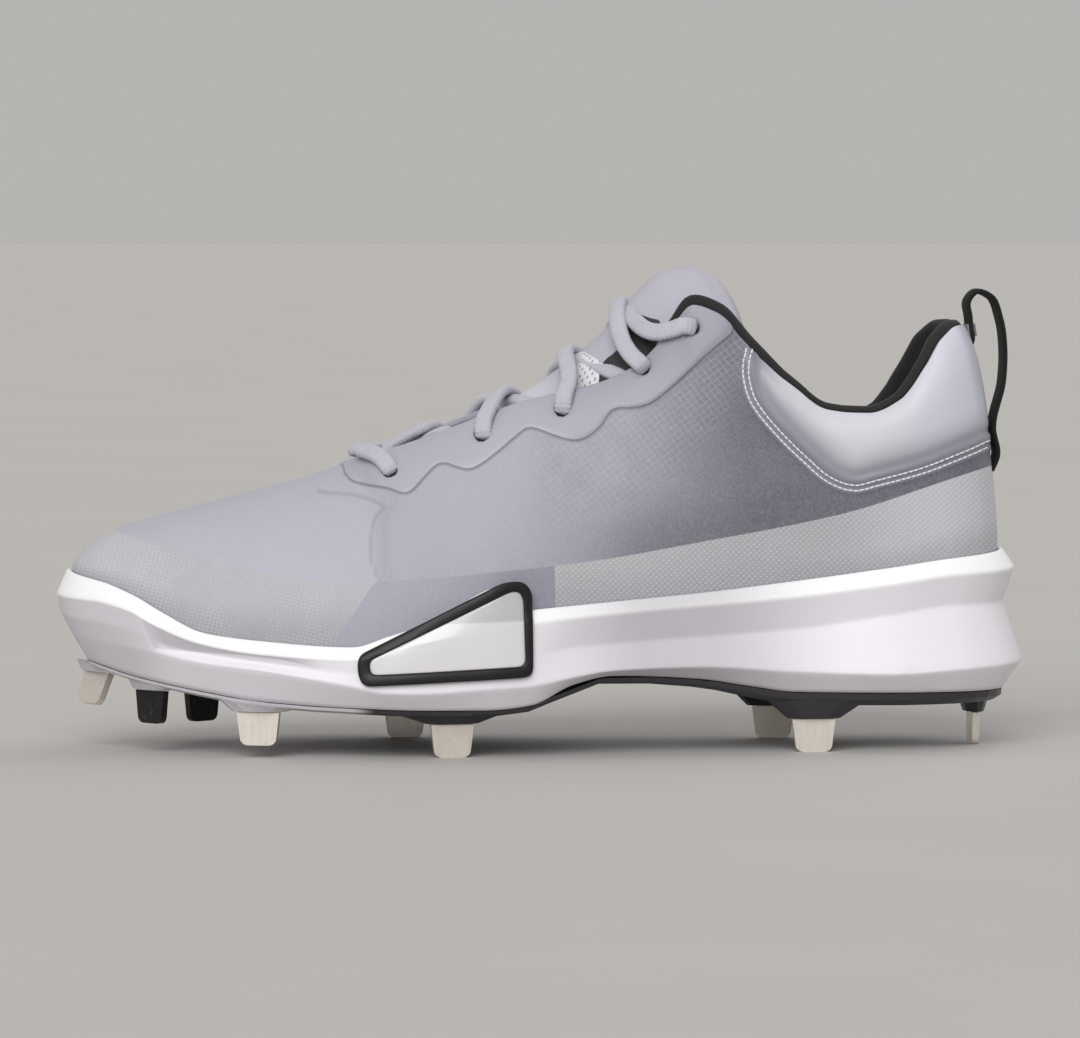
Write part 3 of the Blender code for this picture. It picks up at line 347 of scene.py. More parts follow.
# The part's source sets the shoe over the origin: a blade of known place gives the shift
BLADE_PLACE = ((0.397 - 0.5) * LENGTH, -0.360 * BALL_WIDTH)
low_corner, high_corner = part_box("spike_ball_lateral")
SHIFT = np.array(
    [
        (low_corner[0] + high_corner[0]) / 2 / MM - BLADE_PLACE[0],
        (low_corner[1] + high_corner[1]) / 2 / MM - BLADE_PLACE[1],
        0.0,
    ]
)


# Surfaces, for arrays of places


def unit(vectors):
    return vectors / np.linalg.norm(vectors, axis=-1, keepdims=True)


def reach_along(points):
    """Length of a path up to each of its points."""
    return np.concatenate([[0.0], np.cumsum(np.linalg.norm(np.diff(points, axis=0), axis=1))])


def along_of(turn):
    turn = np.mod(turn, 2.0)
    half = np.where(turn <= 1.0, turn, 2.0 - turn)
    return 0.5 * (1.0 - np.cos(math.pi * half))


def turn_of(along, side):
    half = np.arccos(1.0 - 2.0 * np.asarray(along, float)) / math.pi
    return half if side == "lateral" else 2.0 - half


def two_sided(table, turn):
    along = along_of(turn)
    on_lateral = np.mod(turn, 2.0) <= 1.0
    return np.where(on_lateral, table.at("lateral", along), table.at("medial", along))


def plan_point(turn):
    x = (along_of(turn) - 0.5) * LENGTH
    return np.stack([x, two_sided(PLAN, turn) * BALL_WIDTH], -1)


def plan_outward(turn, reach=0.004):
    run = plan_point(turn + reach) - plan_point(turn - reach)
    return unit(np.stack([run[..., 1], -run[..., 0]], -1))


def plan_inset(turn, inset):
    return plan_point(turn) - plan_outward(turn) * np.asarray(inset)[..., None]


def side_level(share):
    return UNDERSIDE + share * SIDE_HEIGHT


def upper_level(share):
    return UNDERSIDE + share * UPPER_HEIGHT


def base_level(name, x):
    return side_level(BASE.at(name, x / LENGTH + 0.5))


def top_share(turn):
    along = along_of(turn)
    top = WALLS.at("top", along)
    risen = np.maximum(top, RISE.at("top", along))
    return np.where(np.mod(turn, 2.0) <= 1.0, risen, top)


def with_level(plan, z):
    return np.concatenate([plan, np.broadcast_to(np.asarray(z)[..., None], plan.shape[:-1] + (1,))], -1)


def wall_edge(turn, name):
    along = along_of(turn)
    plan = plan_inset(turn, WALLS.at("in_" + name, along) * EDGE_DEPTH)
    share = top_share(turn) if name == "top" else WALLS.at(name, along)
    return with_level(plan, side_level(share))


def cup_inset(turn):
    return WALLS.at("in_top", along_of(turn)) * EDGE_DEPTH + LIP


def feather_point(turn, depth):
    plan = plan_inset(turn, cup_inset(turn) + CUP_DRAFT + GAP + depth)
    return with_level(plan, base_level("bed", plan[..., 0]) + GAP)


def section_foot(turn):
    """Foot of the upper's shape. The midsole's rise at the window only covers it."""
    level = side_level(WALLS.at("top", along_of(turn)))
    return with_level(plan_inset(turn, cup_inset(turn) + GAP), level)


def section_head(turn):
    along = along_of(turn)
    x = (UPPER.at("x", along) - 0.5) * LENGTH
    y = two_sided(UPPER, turn) * BALL_WIDTH
    inner = np.asarray(turn) % 2.0 > 1.0
    dip = np.where(inner, np.interp(along, RIM_DIP[0], RIM_DIP[2]), np.interp(along, *RIM_DIP[:2]))
    return np.stack([x, y, upper_level(UPPER.at("z", along)) - dip], -1)


def section_point(turn, t):
    along = along_of(turn)
    foot, head = section_foot(turn), section_head(turn)
    knee = foot + UPPER.at("lean", along)[..., None] * (head - foot)
    knee[..., 2] = foot[..., 2] + UPPER.at("rise", along) * (head[..., 2] - foot[..., 2])
    knee[..., :2] += plan_outward(turn) * (UPPER.at("belly", along) * EDGE_DEPTH)[..., None]
    weights = ((1 - t) ** 2, 2 * UPPER.at("weight", along) * t * (1 - t), t * t)
    total = (weights[0] + weights[1] + weights[2])[..., None]
    return (
        weights[0][..., None] * foot + weights[1][..., None] * knee + weights[2][..., None] * head
    ) / total


def section_normal(turn, t, reach=0.004):
    low, high = np.maximum(t - 0.01, 0.0), np.minimum(t + 0.01, 1.0)
    up = section_point(turn, high) - section_point(turn, low)
    level = np.minimum(t, 0.96)
    run = section_point(turn + reach, level) - section_point(turn - reach, level)
    return unit(np.cross(run, up))


def tongue_face(run, u):
    bend = np.abs(u) ** 2.0
    x = (TONGUE.at("x", run) - 0.5) * LENGTH + TONGUE.at("back", run) * EDGE_DEPTH * bend
    y = (TONGUE.at("middle", run) + TONGUE.at("half", run) * u) * BALL_WIDTH
    z = upper_level(TONGUE.at("z", run)) - WALL - TONGUE.at("drop", run) * EDGE_DEPTH * bend
    return np.stack([x, y, z], -1)


def tongue_normal(run, u, reach=0.01):
    low, high = np.maximum(run - reach, 0.0), np.minimum(run + reach, 1.0)
    up = tongue_face(high, u) - tongue_face(low, u)
    across = tongue_face(run, u + reach) - tongue_face(run, u - reach)
    return unit(np.cross(up, across))


# The photograph's view


FORWARD_FLAT = np.array([-math.sin(CAMERA_YAW), math.cos(CAMERA_YAW), 0.0])
RIGHT = np.array([math.cos(CAMERA_YAW), math.sin(CAMERA_YAW), 0.0])
EYE = -CAMERA_DISTANCE * FORWARD_FLAT + np.array([0.0, 0.0, CAMERA_HEIGHT])
FORWARD = math.cos(CAMERA_TILT) * FORWARD_FLAT - np.array([0.0, 0.0, math.sin(CAMERA_TILT)])
UP = math.sin(CAMERA_TILT) * FORWARD_FLAT + np.array([0.0, 0.0, math.cos(CAMERA_TILT)])
FLIP = np.array([1.0, -1.0, 1.0])


def in_view(points):
    """Side view of points (mm): where they stand in the picture, in its pixels."""
    ray = points - EYE
    depth = ray @ FORWARD
    return np.stack([CENTRE[0] + FOCAL * (ray @ RIGHT) / depth, CENTRE[1] - FOCAL * (ray @ UP) / depth], -1)


def view_ray(place):
    ray = FORWARD + RIGHT * (place[0] - CENTRE[0]) / FOCAL - UP * (place[1] - CENTRE[1]) / FOCAL
    return unit(ray)


def at_plane(place, y):
    """Point of the picture on an upright plane along the shoe."""
    ray = view_ray(place)
    return EYE + ray * (y - EYE[1]) / ray[1]


def both_sides(points):
    """Side view of points, each from its own side of the shoe."""
    own = np.where(points[..., 1:2] > 2.0, points * FLIP, points)
    return in_view(own)


def line_distance(places, path):
    """Distance of places from a line of the picture, in mm of the shoe's side."""
    path = np.asarray(path, float)
    best = np.full(places.shape[:-1], 1e9)
    for a, b in zip(path, path[1:]):
        span = b - a
        t = np.clip(((places - a) @ span) / (span @ span), 0.0, 1.0)
        gap = np.linalg.norm(places - a - t[..., None] * span, axis=-1)
        best = np.minimum(best, gap)
    return best / PIXELS_PER_MM


def area_mask(places, outline):
    """Distance inside an outline, within what a material needs."""
    return np.clip(inside_distance(places, outline), -MASK_REACH, MASK_REACH)


def inside_distance(places, outline):
    """Distance from an outline's edge, more than 0 inside it."""
    outline = np.asarray(outline, float)
    closed = np.concatenate([outline, outline[:1]])
    inside = np.zeros(places.shape[:-1], bool)
    x, y = places[..., 0], places[..., 1]
    for a, b in zip(closed, closed[1:]):
        if a[1] == b[1]:
            continue
        crosses = (a[1] > y) != (b[1] > y)
        inside ^= crosses & (x < (b[0] - a[0]) * (y - a[1]) / (b[1] - a[1]) + a[0])
    edge = line_distance(places, closed)
    return np.where(inside, edge, -edge)


def rounded(path, count=6):
    """A smoother line through a path's points."""
    path = np.asarray(path, float)
    out = []
    for i in range(len(path) - 1):
        p0 = path[max(i - 1, 0)]
        p1, p2 = path[i], path[i + 1]
        p3 = path[min(i + 2, len(path) - 1)]
        for k in range(count):
            t = k / count
            out.append(
                0.5
                * (
                    2 * p1
                    + (p2 - p0) * t
                    + (2 * p0 - 5 * p1 + 4 * p2 - p3) * t**2
                    + (3 * p1 - p0 - 3 * p2 + p3) * t**3
                )
            )
    out.append(path[-1])
    return np.array(out)


# Lines of the side view, in the picture's pixels
EYESTAY_EDGE = rounded(
    (
        (346, 474), (352, 481), (362, 484), (375, 486), (390, 489), (403, 494), (412, 491), (424, 477),
        (436, 465), (446, 463), (458, 467), (470, 469), (483, 463), (500, 450), (520, 433), (529, 428),
        (540, 430), (556, 436), (573, 440), (586, 437), (600, 426), (608, 414), (617, 408), (632, 407.5),
        (649, 403.5), (664, 393), (680, 379), (703, 357), (731, 333),
    ),
    4,
)
EYESTAY = np.concatenate([EYESTAY_EDGE, [(740, 250), (740, 150), (330, 150), (338, 440)]])
PANEL_EDGE = rounded(
    (
        (746, 334), (744, 348), (741, 362), (741, 378), (746, 398), (755, 414), (769, 431), (786, 449),
        (803, 465), (821, 481), (838, 490), (850, 493), (861, 493), (880, 488), (907, 481), (930, 474),
        (953, 465), (975, 456), (994, 447), (1010, 440),
    ),
    4,
)
PANEL = np.concatenate([PANEL_EDGE, [(1060, 425), (1060, 200), (752, 200)]])
BAND_LINE = rounded(((60, 498), (90, 518), (117, 531), (170, 548), (234, 565), (307, 580), (374, 584)), 3)
TOE_BAND = np.concatenate(
    [BAND_LINE, [(366, 592), (357, 609), (344, 626), (336, 638), (336, 780), (0, 780), (0, 480)]]
)
QUARTER_LINE = rounded(
    (
        (374, 582), (430, 579), (527, 569), (608, 559), (712, 540),
        (792, 525), (861, 509), (930, 486), (996, 464),
    ),
    3,
)
WINDOW_PATCH = (
    (374, 582), (430, 579), (527, 569), (554, 566), (557, 610),
    (557, 780), (336, 780), (336, 638), (357, 609),
)
REAR_BAND = np.concatenate([[(555, 566)], QUARTER_LINE[8:], [(1060, 440), (1060, 780), (557, 780)]])
RIPSTOP = ((533, 420), (536, 470), (560, 520), (640, 500), (712, 430), (760, 330), (700, 250), (533, 300))
VAMP_SEAM = rounded(((384, 506), (376, 514), (372, 524), (370, 548), (373, 566), (379, 581)), 4)
DOUBLE_SEAM = rounded(((396, 500), (388, 514), (384, 532), (386, 556), (392, 578)), 4)
VAMP_ARC = rounded(((318, 490), (330, 492), (355, 495), (372, 500), (384, 506)), 3)

# The tongue's lobe in the middle of its width (x and z, mm): its face and its back
LOBE_FACE = ((50.2, 147.3), (54.8, 144.2), (58.6, 139.0), (61.4, 133.0), (63.5, 126.6), (65.4, 116.0))
LOBE_BACK = ((53.4, 137.6), (55.6, 134.2), (57.6, 130.2), (59.2, 126.0), (60.6, 121.4), (61.8, 115.6))

# The flat recess of the midsole's wall behind the toe, where painted shade darkens the foam
FORE_RECESS = (
    (136, 607), (142, 610), (149, 614), (176, 630), (210, 640), (258, 645), (300, 649), (330, 652),
    (330, 668), (324, 670), (300, 664), (282, 660), (239, 655), (196, 652), (154, 648),
)

# Two places of the tongue beside the near edge of the throat: a mesh patch, and painted shadow beside the
# lace strands
TONGUE_MESH = ((568, 350), (585, 352), (602, 362), (603, 380), (600, 396), (566, 400), (562, 370))
TONGUE_SHADOW = (
    (598, 388), (600, 370), (604, 360), (616, 352), (622, 336), (624, 318), (634, 312), (650, 318),
    (660, 320), (664, 332), (650, 356), (626, 384), (602, 400),
)

EYELETS = ((390, 471), (482, 435), (562, 410), (643, 368), (692, 328))

# Low relief inside the collar panel's edge: distance from the edge, width and depth in mm
PANEL_STEPS = ((1.6, 0.7, -0.35), (3.9, 0.55, 0.40), (5.6, 1.3, -0.55))

# Creases: line, half width and depth in mm, troughs below 0 and ridges above
CREASES = (
    (((300, 470), (318, 500), (330, 530), (334, 556)), 7.0, -0.45),
    (((322, 470), (340, 500), (352, 536), (352, 566)), 6.0, 0.35),
    (((384, 506), (374, 520), (371, 548), (378, 580)), 3.2, -0.55),
    (((404, 500), (398, 524), (398, 552), (404, 574)), 6.0, 0.40),
    (((440, 480), (470, 500), (520, 512), (570, 512)), 9.0, -0.40),
    (((600, 470), (650, 480), (706, 470), (742, 440)), 10.0, -0.55),
    (((620, 520), (680, 512), (740, 500), (790, 486)), 9.0, 0.45),
    (((130, 560), (170, 572), (230, 590), (300, 602)), 8.0, -0.30),
    (((150, 548), (200, 556), (260, 566), (320, 572)), 9.0, 0.25),
)


# Meshes


def make_object(name, points, faces, attributes=()):
    mesh = bpy.data.meshes.new(name)
    mesh.from_pydata([tuple(point) for point in np.asarray(points) * MM], [], faces)
    for label, values in attributes:
        values = np.asarray(values, np.float32)
        if values.ndim == 1:
            layer = mesh.attributes.new(label, "FLOAT", "POINT")
            layer.data.foreach_set("value", values)
        else:
            layer = mesh.attributes.new(label, "FLOAT_VECTOR", "POINT")
            layer.data.foreach_set("vector", values.reshape(-1))
    mesh.validate()
    mesh.shade_smooth()
    thing = bpy.data.objects.new(name, mesh)
    bpy.context.scene.collection.objects.link(thing)
    return thing


def grid_faces(rows, columns, close_rows=False, close_columns=True):
    """Faces of a grid whose point (i, j) is i * columns + j."""
    faces = []
    for i in range(rows if close_rows else rows - 1):
        k = (i + 1) % rows
        for j in range(columns if close_columns else columns - 1):
            m = (j + 1) % columns
            faces.append((i * columns + j, i * columns + m, k * columns + m, k * columns + j))
    return faces


def closed_faces(rows, columns):
    """Faces of a tube of rings, with a cap on each end."""
    last = (rows - 1) * columns
    return grid_faces(rows, columns) + [tuple(range(columns))[::-1], tuple(range(last, last + columns))]


@contextmanager
def mesh_edit(thing):
    work = bmesh.new()
    work.from_mesh(thing.data)
    yield work
    work.to_mesh(thing.data)
    work.free()


def merge_close(thing, distance=0.01):
    with mesh_edit(thing) as work:
        bmesh.ops.remove_doubles(work, verts=work.verts, dist=distance * MM)
        bmesh.ops.recalc_face_normals(work, faces=work.faces)


def join_parts(name, parts):
    """One mesh from (points, faces) pairs."""
    points, faces, start = [], [], 0
    for some_points, some_faces in parts:
        points.append(np.asarray(some_points, float))
        faces += [tuple(start + i for i in face) for face in some_faces]
        start += len(some_points)
    return make_object(name, np.concatenate(points), faces)


def smooth_path(points, count):
    points = np.array(points, float)
    reach = reach_along(points)
    slopes = np.gradient(points, reach, axis=0)
    where = np.linspace(0.0, reach[-1], count)
    k = np.clip(np.searchsorted(reach, where) - 1, 0, len(points) - 2)
    width = (reach[k + 1] - reach[k])[:, None]
    t = (where - reach[k])[:, None] / width
    return (
        (2 * t**3 - 3 * t**2 + 1) * points[k]
        + (t**3 - 2 * t**2 + t) * width * slopes[k]
        + (3 * t**2 - 2 * t**3) * points[k + 1]
        + (t**3 - t**2) * width * slopes[k + 1]
    )


def sweep(path, facing, profile):
    """A closed tube along a path: profile(i, angles) gives its half width and height there."""
    run = unit(np.gradient(path, axis=0))
    side = unit(np.cross(run, facing))
    up = np.cross(side, run)
    angles = np.linspace(0.0, 2.0 * math.pi, 20, endpoint=False)
    points = []
    for i in range(len(path)):
        wide, high = profile(i, angles)
        points.append(path[i] + np.outer(wide, side[i]) + np.outer(high, up[i]))
    return np.concatenate(points), closed_faces(len(path), len(angles))


# Shader graphs


def srgb(red, green, blue):
    out = []
    for value in (red, green, blue):
        value /= 255.0
        out.append(value / 12.92 if value <= 0.04045 else ((value + 0.055) / 1.055) ** 2.4)
    return (*out, 1.0)


class Graph:
    """A material's nodes, made by short calls."""

    def __init__(self, name, roughness=0.6, **sockets):
        self.material = bpy.data.materials.new(name)
        self.material.use_nodes = True
        self.tree = self.material.node_tree
        self.shader = self.tree.nodes["Principled BSDF"]
        self.shader.inputs["Roughness"].default_value = roughness
        for label, value in sockets.items():
            self.shader.inputs[label.replace("_", " ")].default_value = value
        self.height = None
        self.place = self.tree.nodes.new("ShaderNodeTexCoord").outputs["Object"]

    def node(self, kind, inputs=(), **settings):
        made = self.tree.nodes.new(kind)
        for label, value in settings.items():
            setattr(made, label, value)
        for label, value in dict(inputs).items():
            socket = made.inputs[label]
            if isinstance(value, bpy.types.NodeSocket):
                self.tree.links.new(value, socket)
            else:
                socket.default_value = value
        return made

    def attribute(self, name):
        return self.node("ShaderNodeAttribute", attribute_name=name).outputs["Fac"]

    def vector_attribute(self, name):
        return self.node("ShaderNodeAttribute", attribute_name=name).outputs["Vector"]

    def math(self, operation, a, b=0.0, c=0.0):
        return self.node("ShaderNodeMath", {0: a, 1: b, 2: c}, operation=operation).outputs[0]

    def times(self, a, b):
        return self.math("MULTIPLY", a, b)

    def rest(self, share):
        return self.math("SUBTRACT", 1.0, share)

    def over(self, tone, share, strength, colour):
        """A tone with a share of a colour laid over it."""
        return self.mix(self.times(share, strength), tone, srgb(*colour))

    def split(self, vector):
        return self.node("ShaderNodeSeparateXYZ", {"Vector": vector}).outputs

    def step(self, value, low, high):
        """0 at low and 1 at high, with a soft run between them."""
        made = self.node(
            "ShaderNodeMapRange",
            {"Value": value, "From Min": low, "From Max": high, "To Min": 0.0, "To Max": 1.0},
            interpolation_type="SMOOTHSTEP",
        )
        return made.outputs["Result"]

    def mix(self, share, a, b):
        made = self.node("ShaderNodeMix", data_type="RGBA")
        for index, value in ((0, share), (6, a), (7, b)):
            if isinstance(value, bpy.types.NodeSocket):
                self.tree.links.new(value, made.inputs[index])
            else:
                made.inputs[index].default_value = value
        return made.outputs[2]

    def noise(self, scale, detail=3.0, roughness=0.6, stretch=None):
        place = self.place
        if stretch is not None:
            place = self.node("ShaderNodeMapping", {"Vector": place, "Scale": stretch}).outputs[0]
        made = self.node(
            "ShaderNodeTexNoise",
            {"Vector": place, "Scale": scale, "Detail": detail, "Roughness": roughness},
        )
        return made.outputs["Fac"]

    def cells(self, scale):
        made = self.node("ShaderNodeTexVoronoi", {"Vector": self.place, "Scale": scale})
        return made.outputs["Distance"]

    def stripes(self, vector, direction, period):
        """Waves of a vector's places across a direction, from 0 to 1."""
        dot = self.node(
            "ShaderNodeVectorMath", {0: vector, 1: (*direction, 0.0)}, operation="DOT_PRODUCT"
        ).outputs["Value"]
        wave = self.math("SINE", self.math("MULTIPLY", dot, 2.0 * math.pi / period))
        return self.math("MULTIPLY_ADD", wave, 0.5, 0.5)

    def colour(self, value):
        self.tree.links.new(value, self.shader.inputs["Base Color"])

    def rough(self, value):
        self.tree.links.new(value, self.shader.inputs["Roughness"])

    def relief(self, height, depth_mm):
        """Add relief of a depth in mm to what there is."""
        scaled = self.math("MULTIPLY", height, depth_mm * MM)
        self.height = scaled if self.height is None else self.math("ADD", self.height, scaled)

    def finish(self):
        if self.height is not None:
            bump = self.node("ShaderNodeBump", {"Height": self.height, "Strength": 1.0, "Distance": 1.0})
            self.tree.links.new(bump.outputs["Normal"], self.shader.inputs["Normal"])
        return self.material


def mottled(name, roughness, grain, tones, reliefs, **sockets):
    """A colour between two tones, with relief: ((noise or cell values), depth in mm)."""
    g = Graph(name, roughness, **sockets)
    g.colour(g.mix(g.noise(*grain), *(srgb(*tone) for tone in tones)))
    for pattern, depth in reliefs:
        g.relief(g.noise(*pattern) if len(pattern) > 1 else g.cells(*pattern), depth)
    return g.finish()


def dress(thing, material, replaces=()):
    """Give a piece its material, its body and the nodes that it stands for."""
    thing.data.materials.clear()
    thing.data.materials.append(material)
    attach(thing, "root")
    if replaces:
        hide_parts(*replaces)
    return thing


# Camera, floor and light


def make_camera():
    data = bpy.data.cameras.new("camera")
    data.sensor_fit = "HORIZONTAL"
    data.sensor_width = SENSOR_WIDTH
    data.lens = FOCAL * SENSOR_WIDTH / FRAME_SIZE[0]
    data.shift_x = -(CENTRE[0] - FRAME_SIZE[0] / 2) / FRAME_SIZE[0]
    data.clip_start = 0.05
    data.clip_end = 100.0
    camera = bpy.data.objects.new("camera", data)
    bpy.context.scene.collection.objects.link(camera)
    camera.location = EYE * MM
    camera.rotation_euler = (math.pi / 2 - CAMERA_TILT, 0.0, CAMERA_YAW)
    bpy.context.scene.camera = camera


def make_sun(name, place, energy, colour, angle):
    data = bpy.data.lights.new(name, "SUN")
    data.energy = energy
    data.color = colour
    data.angle = math.radians(angle)
    light = bpy.data.objects.new(name, data)
    bpy.context.scene.collection.objects.link(light)
    light.location = place
    light.rotation_euler = (-Vector(place)).to_track_quat("-Z", "Y").to_euler()


def make_stage():
    size = FLOOR_REACH
    corners = [(-size, -size, 0), (size, -size, 0), (size, size, 0), (-size, size, 0)]
    mesh = bpy.data.meshes.new("floor")
    mesh.from_pydata(corners, [], [(0, 1, 2, 3)])
    floor = bpy.data.objects.new("floor", mesh)
    bpy.context.scene.collection.objects.link(floor)
    g = Graph("floor_pale", roughness=0.75)
    g.colour(g.mix(g.noise(6.0, 4.0), srgb(186, 184, 181), srgb(194, 192, 189)))
    floor.data.materials.append(g.finish())
    world = bpy.data.worlds.new("studio")
    world.use_nodes = True
    backdrop = world.node_tree.nodes["Background"].inputs
    backdrop["Color"].default_value = srgb(182, 180, 177)
    backdrop["Strength"].default_value = 1.0
    bpy.context.scene.world = world
    bpy.context.scene.view_settings.view_transform = "Standard"
    for sun in SUNS:
        make_sun(*sun)


# Upper


def upper_masks(points):
    """What the side view says of each point of the upper's outside."""
    places = both_sides(points)
    masks = {
        "d_eyestay": inside_distance(places, EYESTAY),
        "d_panel": inside_distance(places, PANEL),
        "d_toe": inside_distance(places, TOE_BAND),
        "d_patch": inside_distance(places, WINDOW_PATCH),
        "d_rear": inside_distance(places, REAR_BAND),
        "d_ripstop": inside_distance(places, RIPSTOP),
        "d_seam": np.minimum(line_distance(places, VAMP_SEAM), line_distance(places, VAMP_ARC)),
        "d_double": line_distance(places, DOUBLE_SEAM),
    }
    holes = np.full(places.shape[:-1], 1e9)
    for eyelet in EYELETS:
        holes = np.minimum(holes, np.linalg.norm(places - np.array(eyelet), axis=-1) / PIXELS_PER_MM)
    masks["d_hole"] = holes
    side = np.concatenate([places * [1.0, -1.0] / PIXELS_PER_MM, np.zeros(places.shape[:-1] + (1,))], -1)
    return places, masks, side


def smooth(value, low, high):
    t = np.clip((value - low) / (high - low), 0.0, 1.0)
    return t * t * (3.0 - 2.0 * t)


def panel_pad(turn, t, inside):
    """How full the collar panel's padding is: 0 at its edges."""
    full = np.zeros_like(t)
    for i in range(t.shape[0]):
        within = np.nonzero(inside[i] > 0.0)[0]
        if len(within) == 0 or within[0] == 0:
            continue
        k = within[0]
        before, after = inside[i, k - 1], inside[i, k]
        start = t[i, k - 1] + (t[i, k] - t[i, k - 1]) * (-before) / (after - before)
        share = np.clip((t[i] - start) / (1.0 - start), 0.0, 1.0)
        full[i] = np.sin(math.pi * share**1.35) ** 0.9
    return full * UPPER.at("pad", along_of(turn))


def make_upper():
    turns = np.arange(ROUND) * 2.0 / ROUND
    t = np.linspace(0.0, 1.0, RISES) ** 0.95
    turn = np.repeat(turns[:, None], RISES, 1)
    t = np.repeat(t[None, :], ROUND, 0)
    plain = section_point(turn, t) + SHIFT
    normal = section_normal(turn, t)
    places, masks, side = upper_masks(plain)
    lift = OVERLAY * smooth(masks["d_eyestay"], *EDGE_SOFT) * smooth(t, 0.02, 0.1)
    lift += PANEL_SHARE * OVERLAY * smooth(masks["d_panel"], *EDGE_SOFT)
    lift += COLLAR_PAD * panel_pad(turn, t, masks["d_panel"])
    on_pad = smooth(UPPER.at("pad", along_of(turn)), 0.05, 0.3)
    for middle, width, depth in PANEL_STEPS:
        lift += depth * np.exp(-(((masks["d_panel"] - middle) / width) ** 2)) * on_pad
    lift -= HOLE_SINK * (1.0 - smooth(masks["d_hole"], *HOLE_EDGE))
    lift -= SEAM_SINK * np.exp(-((masks["d_seam"] / SEAM_WIDE) ** 2))
    lift -= DOUBLE_SINK * np.exp(-((masks["d_double"] / SEAM_WIDE) ** 2))
    free = smooth(t, 0.02, 0.12) * smooth(1.0 - t, 0.0, 0.06) * (1.0 - smooth(masks["d_panel"], -2.0, 0.0))
    for path, width, depth in CREASES:
        lift += depth * np.exp(-((line_distance(places, rounded(path, 4)) / width) ** 2)) * free
    ridge = along_of(turn) <= THROAT_FRONT
    outer = plain + normal * lift[..., None]
    t_in = np.linspace(1.0, 0.0, INNER_ROWS)
    turn_in = np.repeat(turns[:, None], INNER_ROWS, 1)
    t_in = np.repeat(t_in[None, :], ROUND, 0)
    inner = section_point(turn_in, t_in) + SHIFT - section_normal(turn_in, t_in) * WALL
    feather_out = (feather_point(turns, 0.0) + SHIFT)[:, None]
    feather_in = (feather_point(turns, WALL) + SHIFT)[:, None]
    # the two sides share the ridge in front of the throat
    for sheet, row in ((outer, -1), (inner, 0)):
        for i in range(1, ROUND // 2):
            if ridge[i, 0]:
                j = ROUND - i
                middle = (sheet[i, row] + sheet[j, row]) / 2
                sheet[i, row] = sheet[j, row] = middle
    points = np.concatenate([feather_out, outer, inner, feather_in], 1)
    columns = points.shape[1]
    flat = points.reshape(-1, 3)
    faces = []
    rim = RISES  # column of the outer rim
    for i in range(ROUND):
        j = (i + 1) % ROUND
        closed_ridge = ridge[i, 0] and ridge[j, 0]
        for k in range(columns):
            m = (k + 1) % columns
            if k == rim and closed_ridge:
                continue
            faces.append((i * columns + k, j * columns + k, j * columns + m, i * columns + m))
    count = len(flat)
    attributes = []
    for name, values in masks.items():
        full = np.full((ROUND, columns), FAR if name in ("d_hole", "d_seam", "d_double") else -9.0)
        full[:, 1 : RISES + 1] = values
        attributes.append((name, np.clip(full.reshape(count), -MASK_REACH, FAR)))
    sides = np.zeros((ROUND, columns, 3))
    sides[:, 1 : RISES + 1] = side
    attributes.append(("side", sides.reshape(count, 3)))
    level = np.ones((ROUND, columns))
    level[:, 1 : RISES + 1] = t
    level[:, 0] = 0.0
    attributes.append(("level", level.reshape(count)))
    inside = np.ones((ROUND, columns))
    inside[:, 0 : RISES + 1] = 0.0
    attributes.append(("inside", inside.reshape(count)))
    upper = make_object("upper_shell", flat, faces, attributes=attributes)
    merge_close(upper)
    dress(upper, upper_material(), ("upper",))
    return upper, turn, t, places


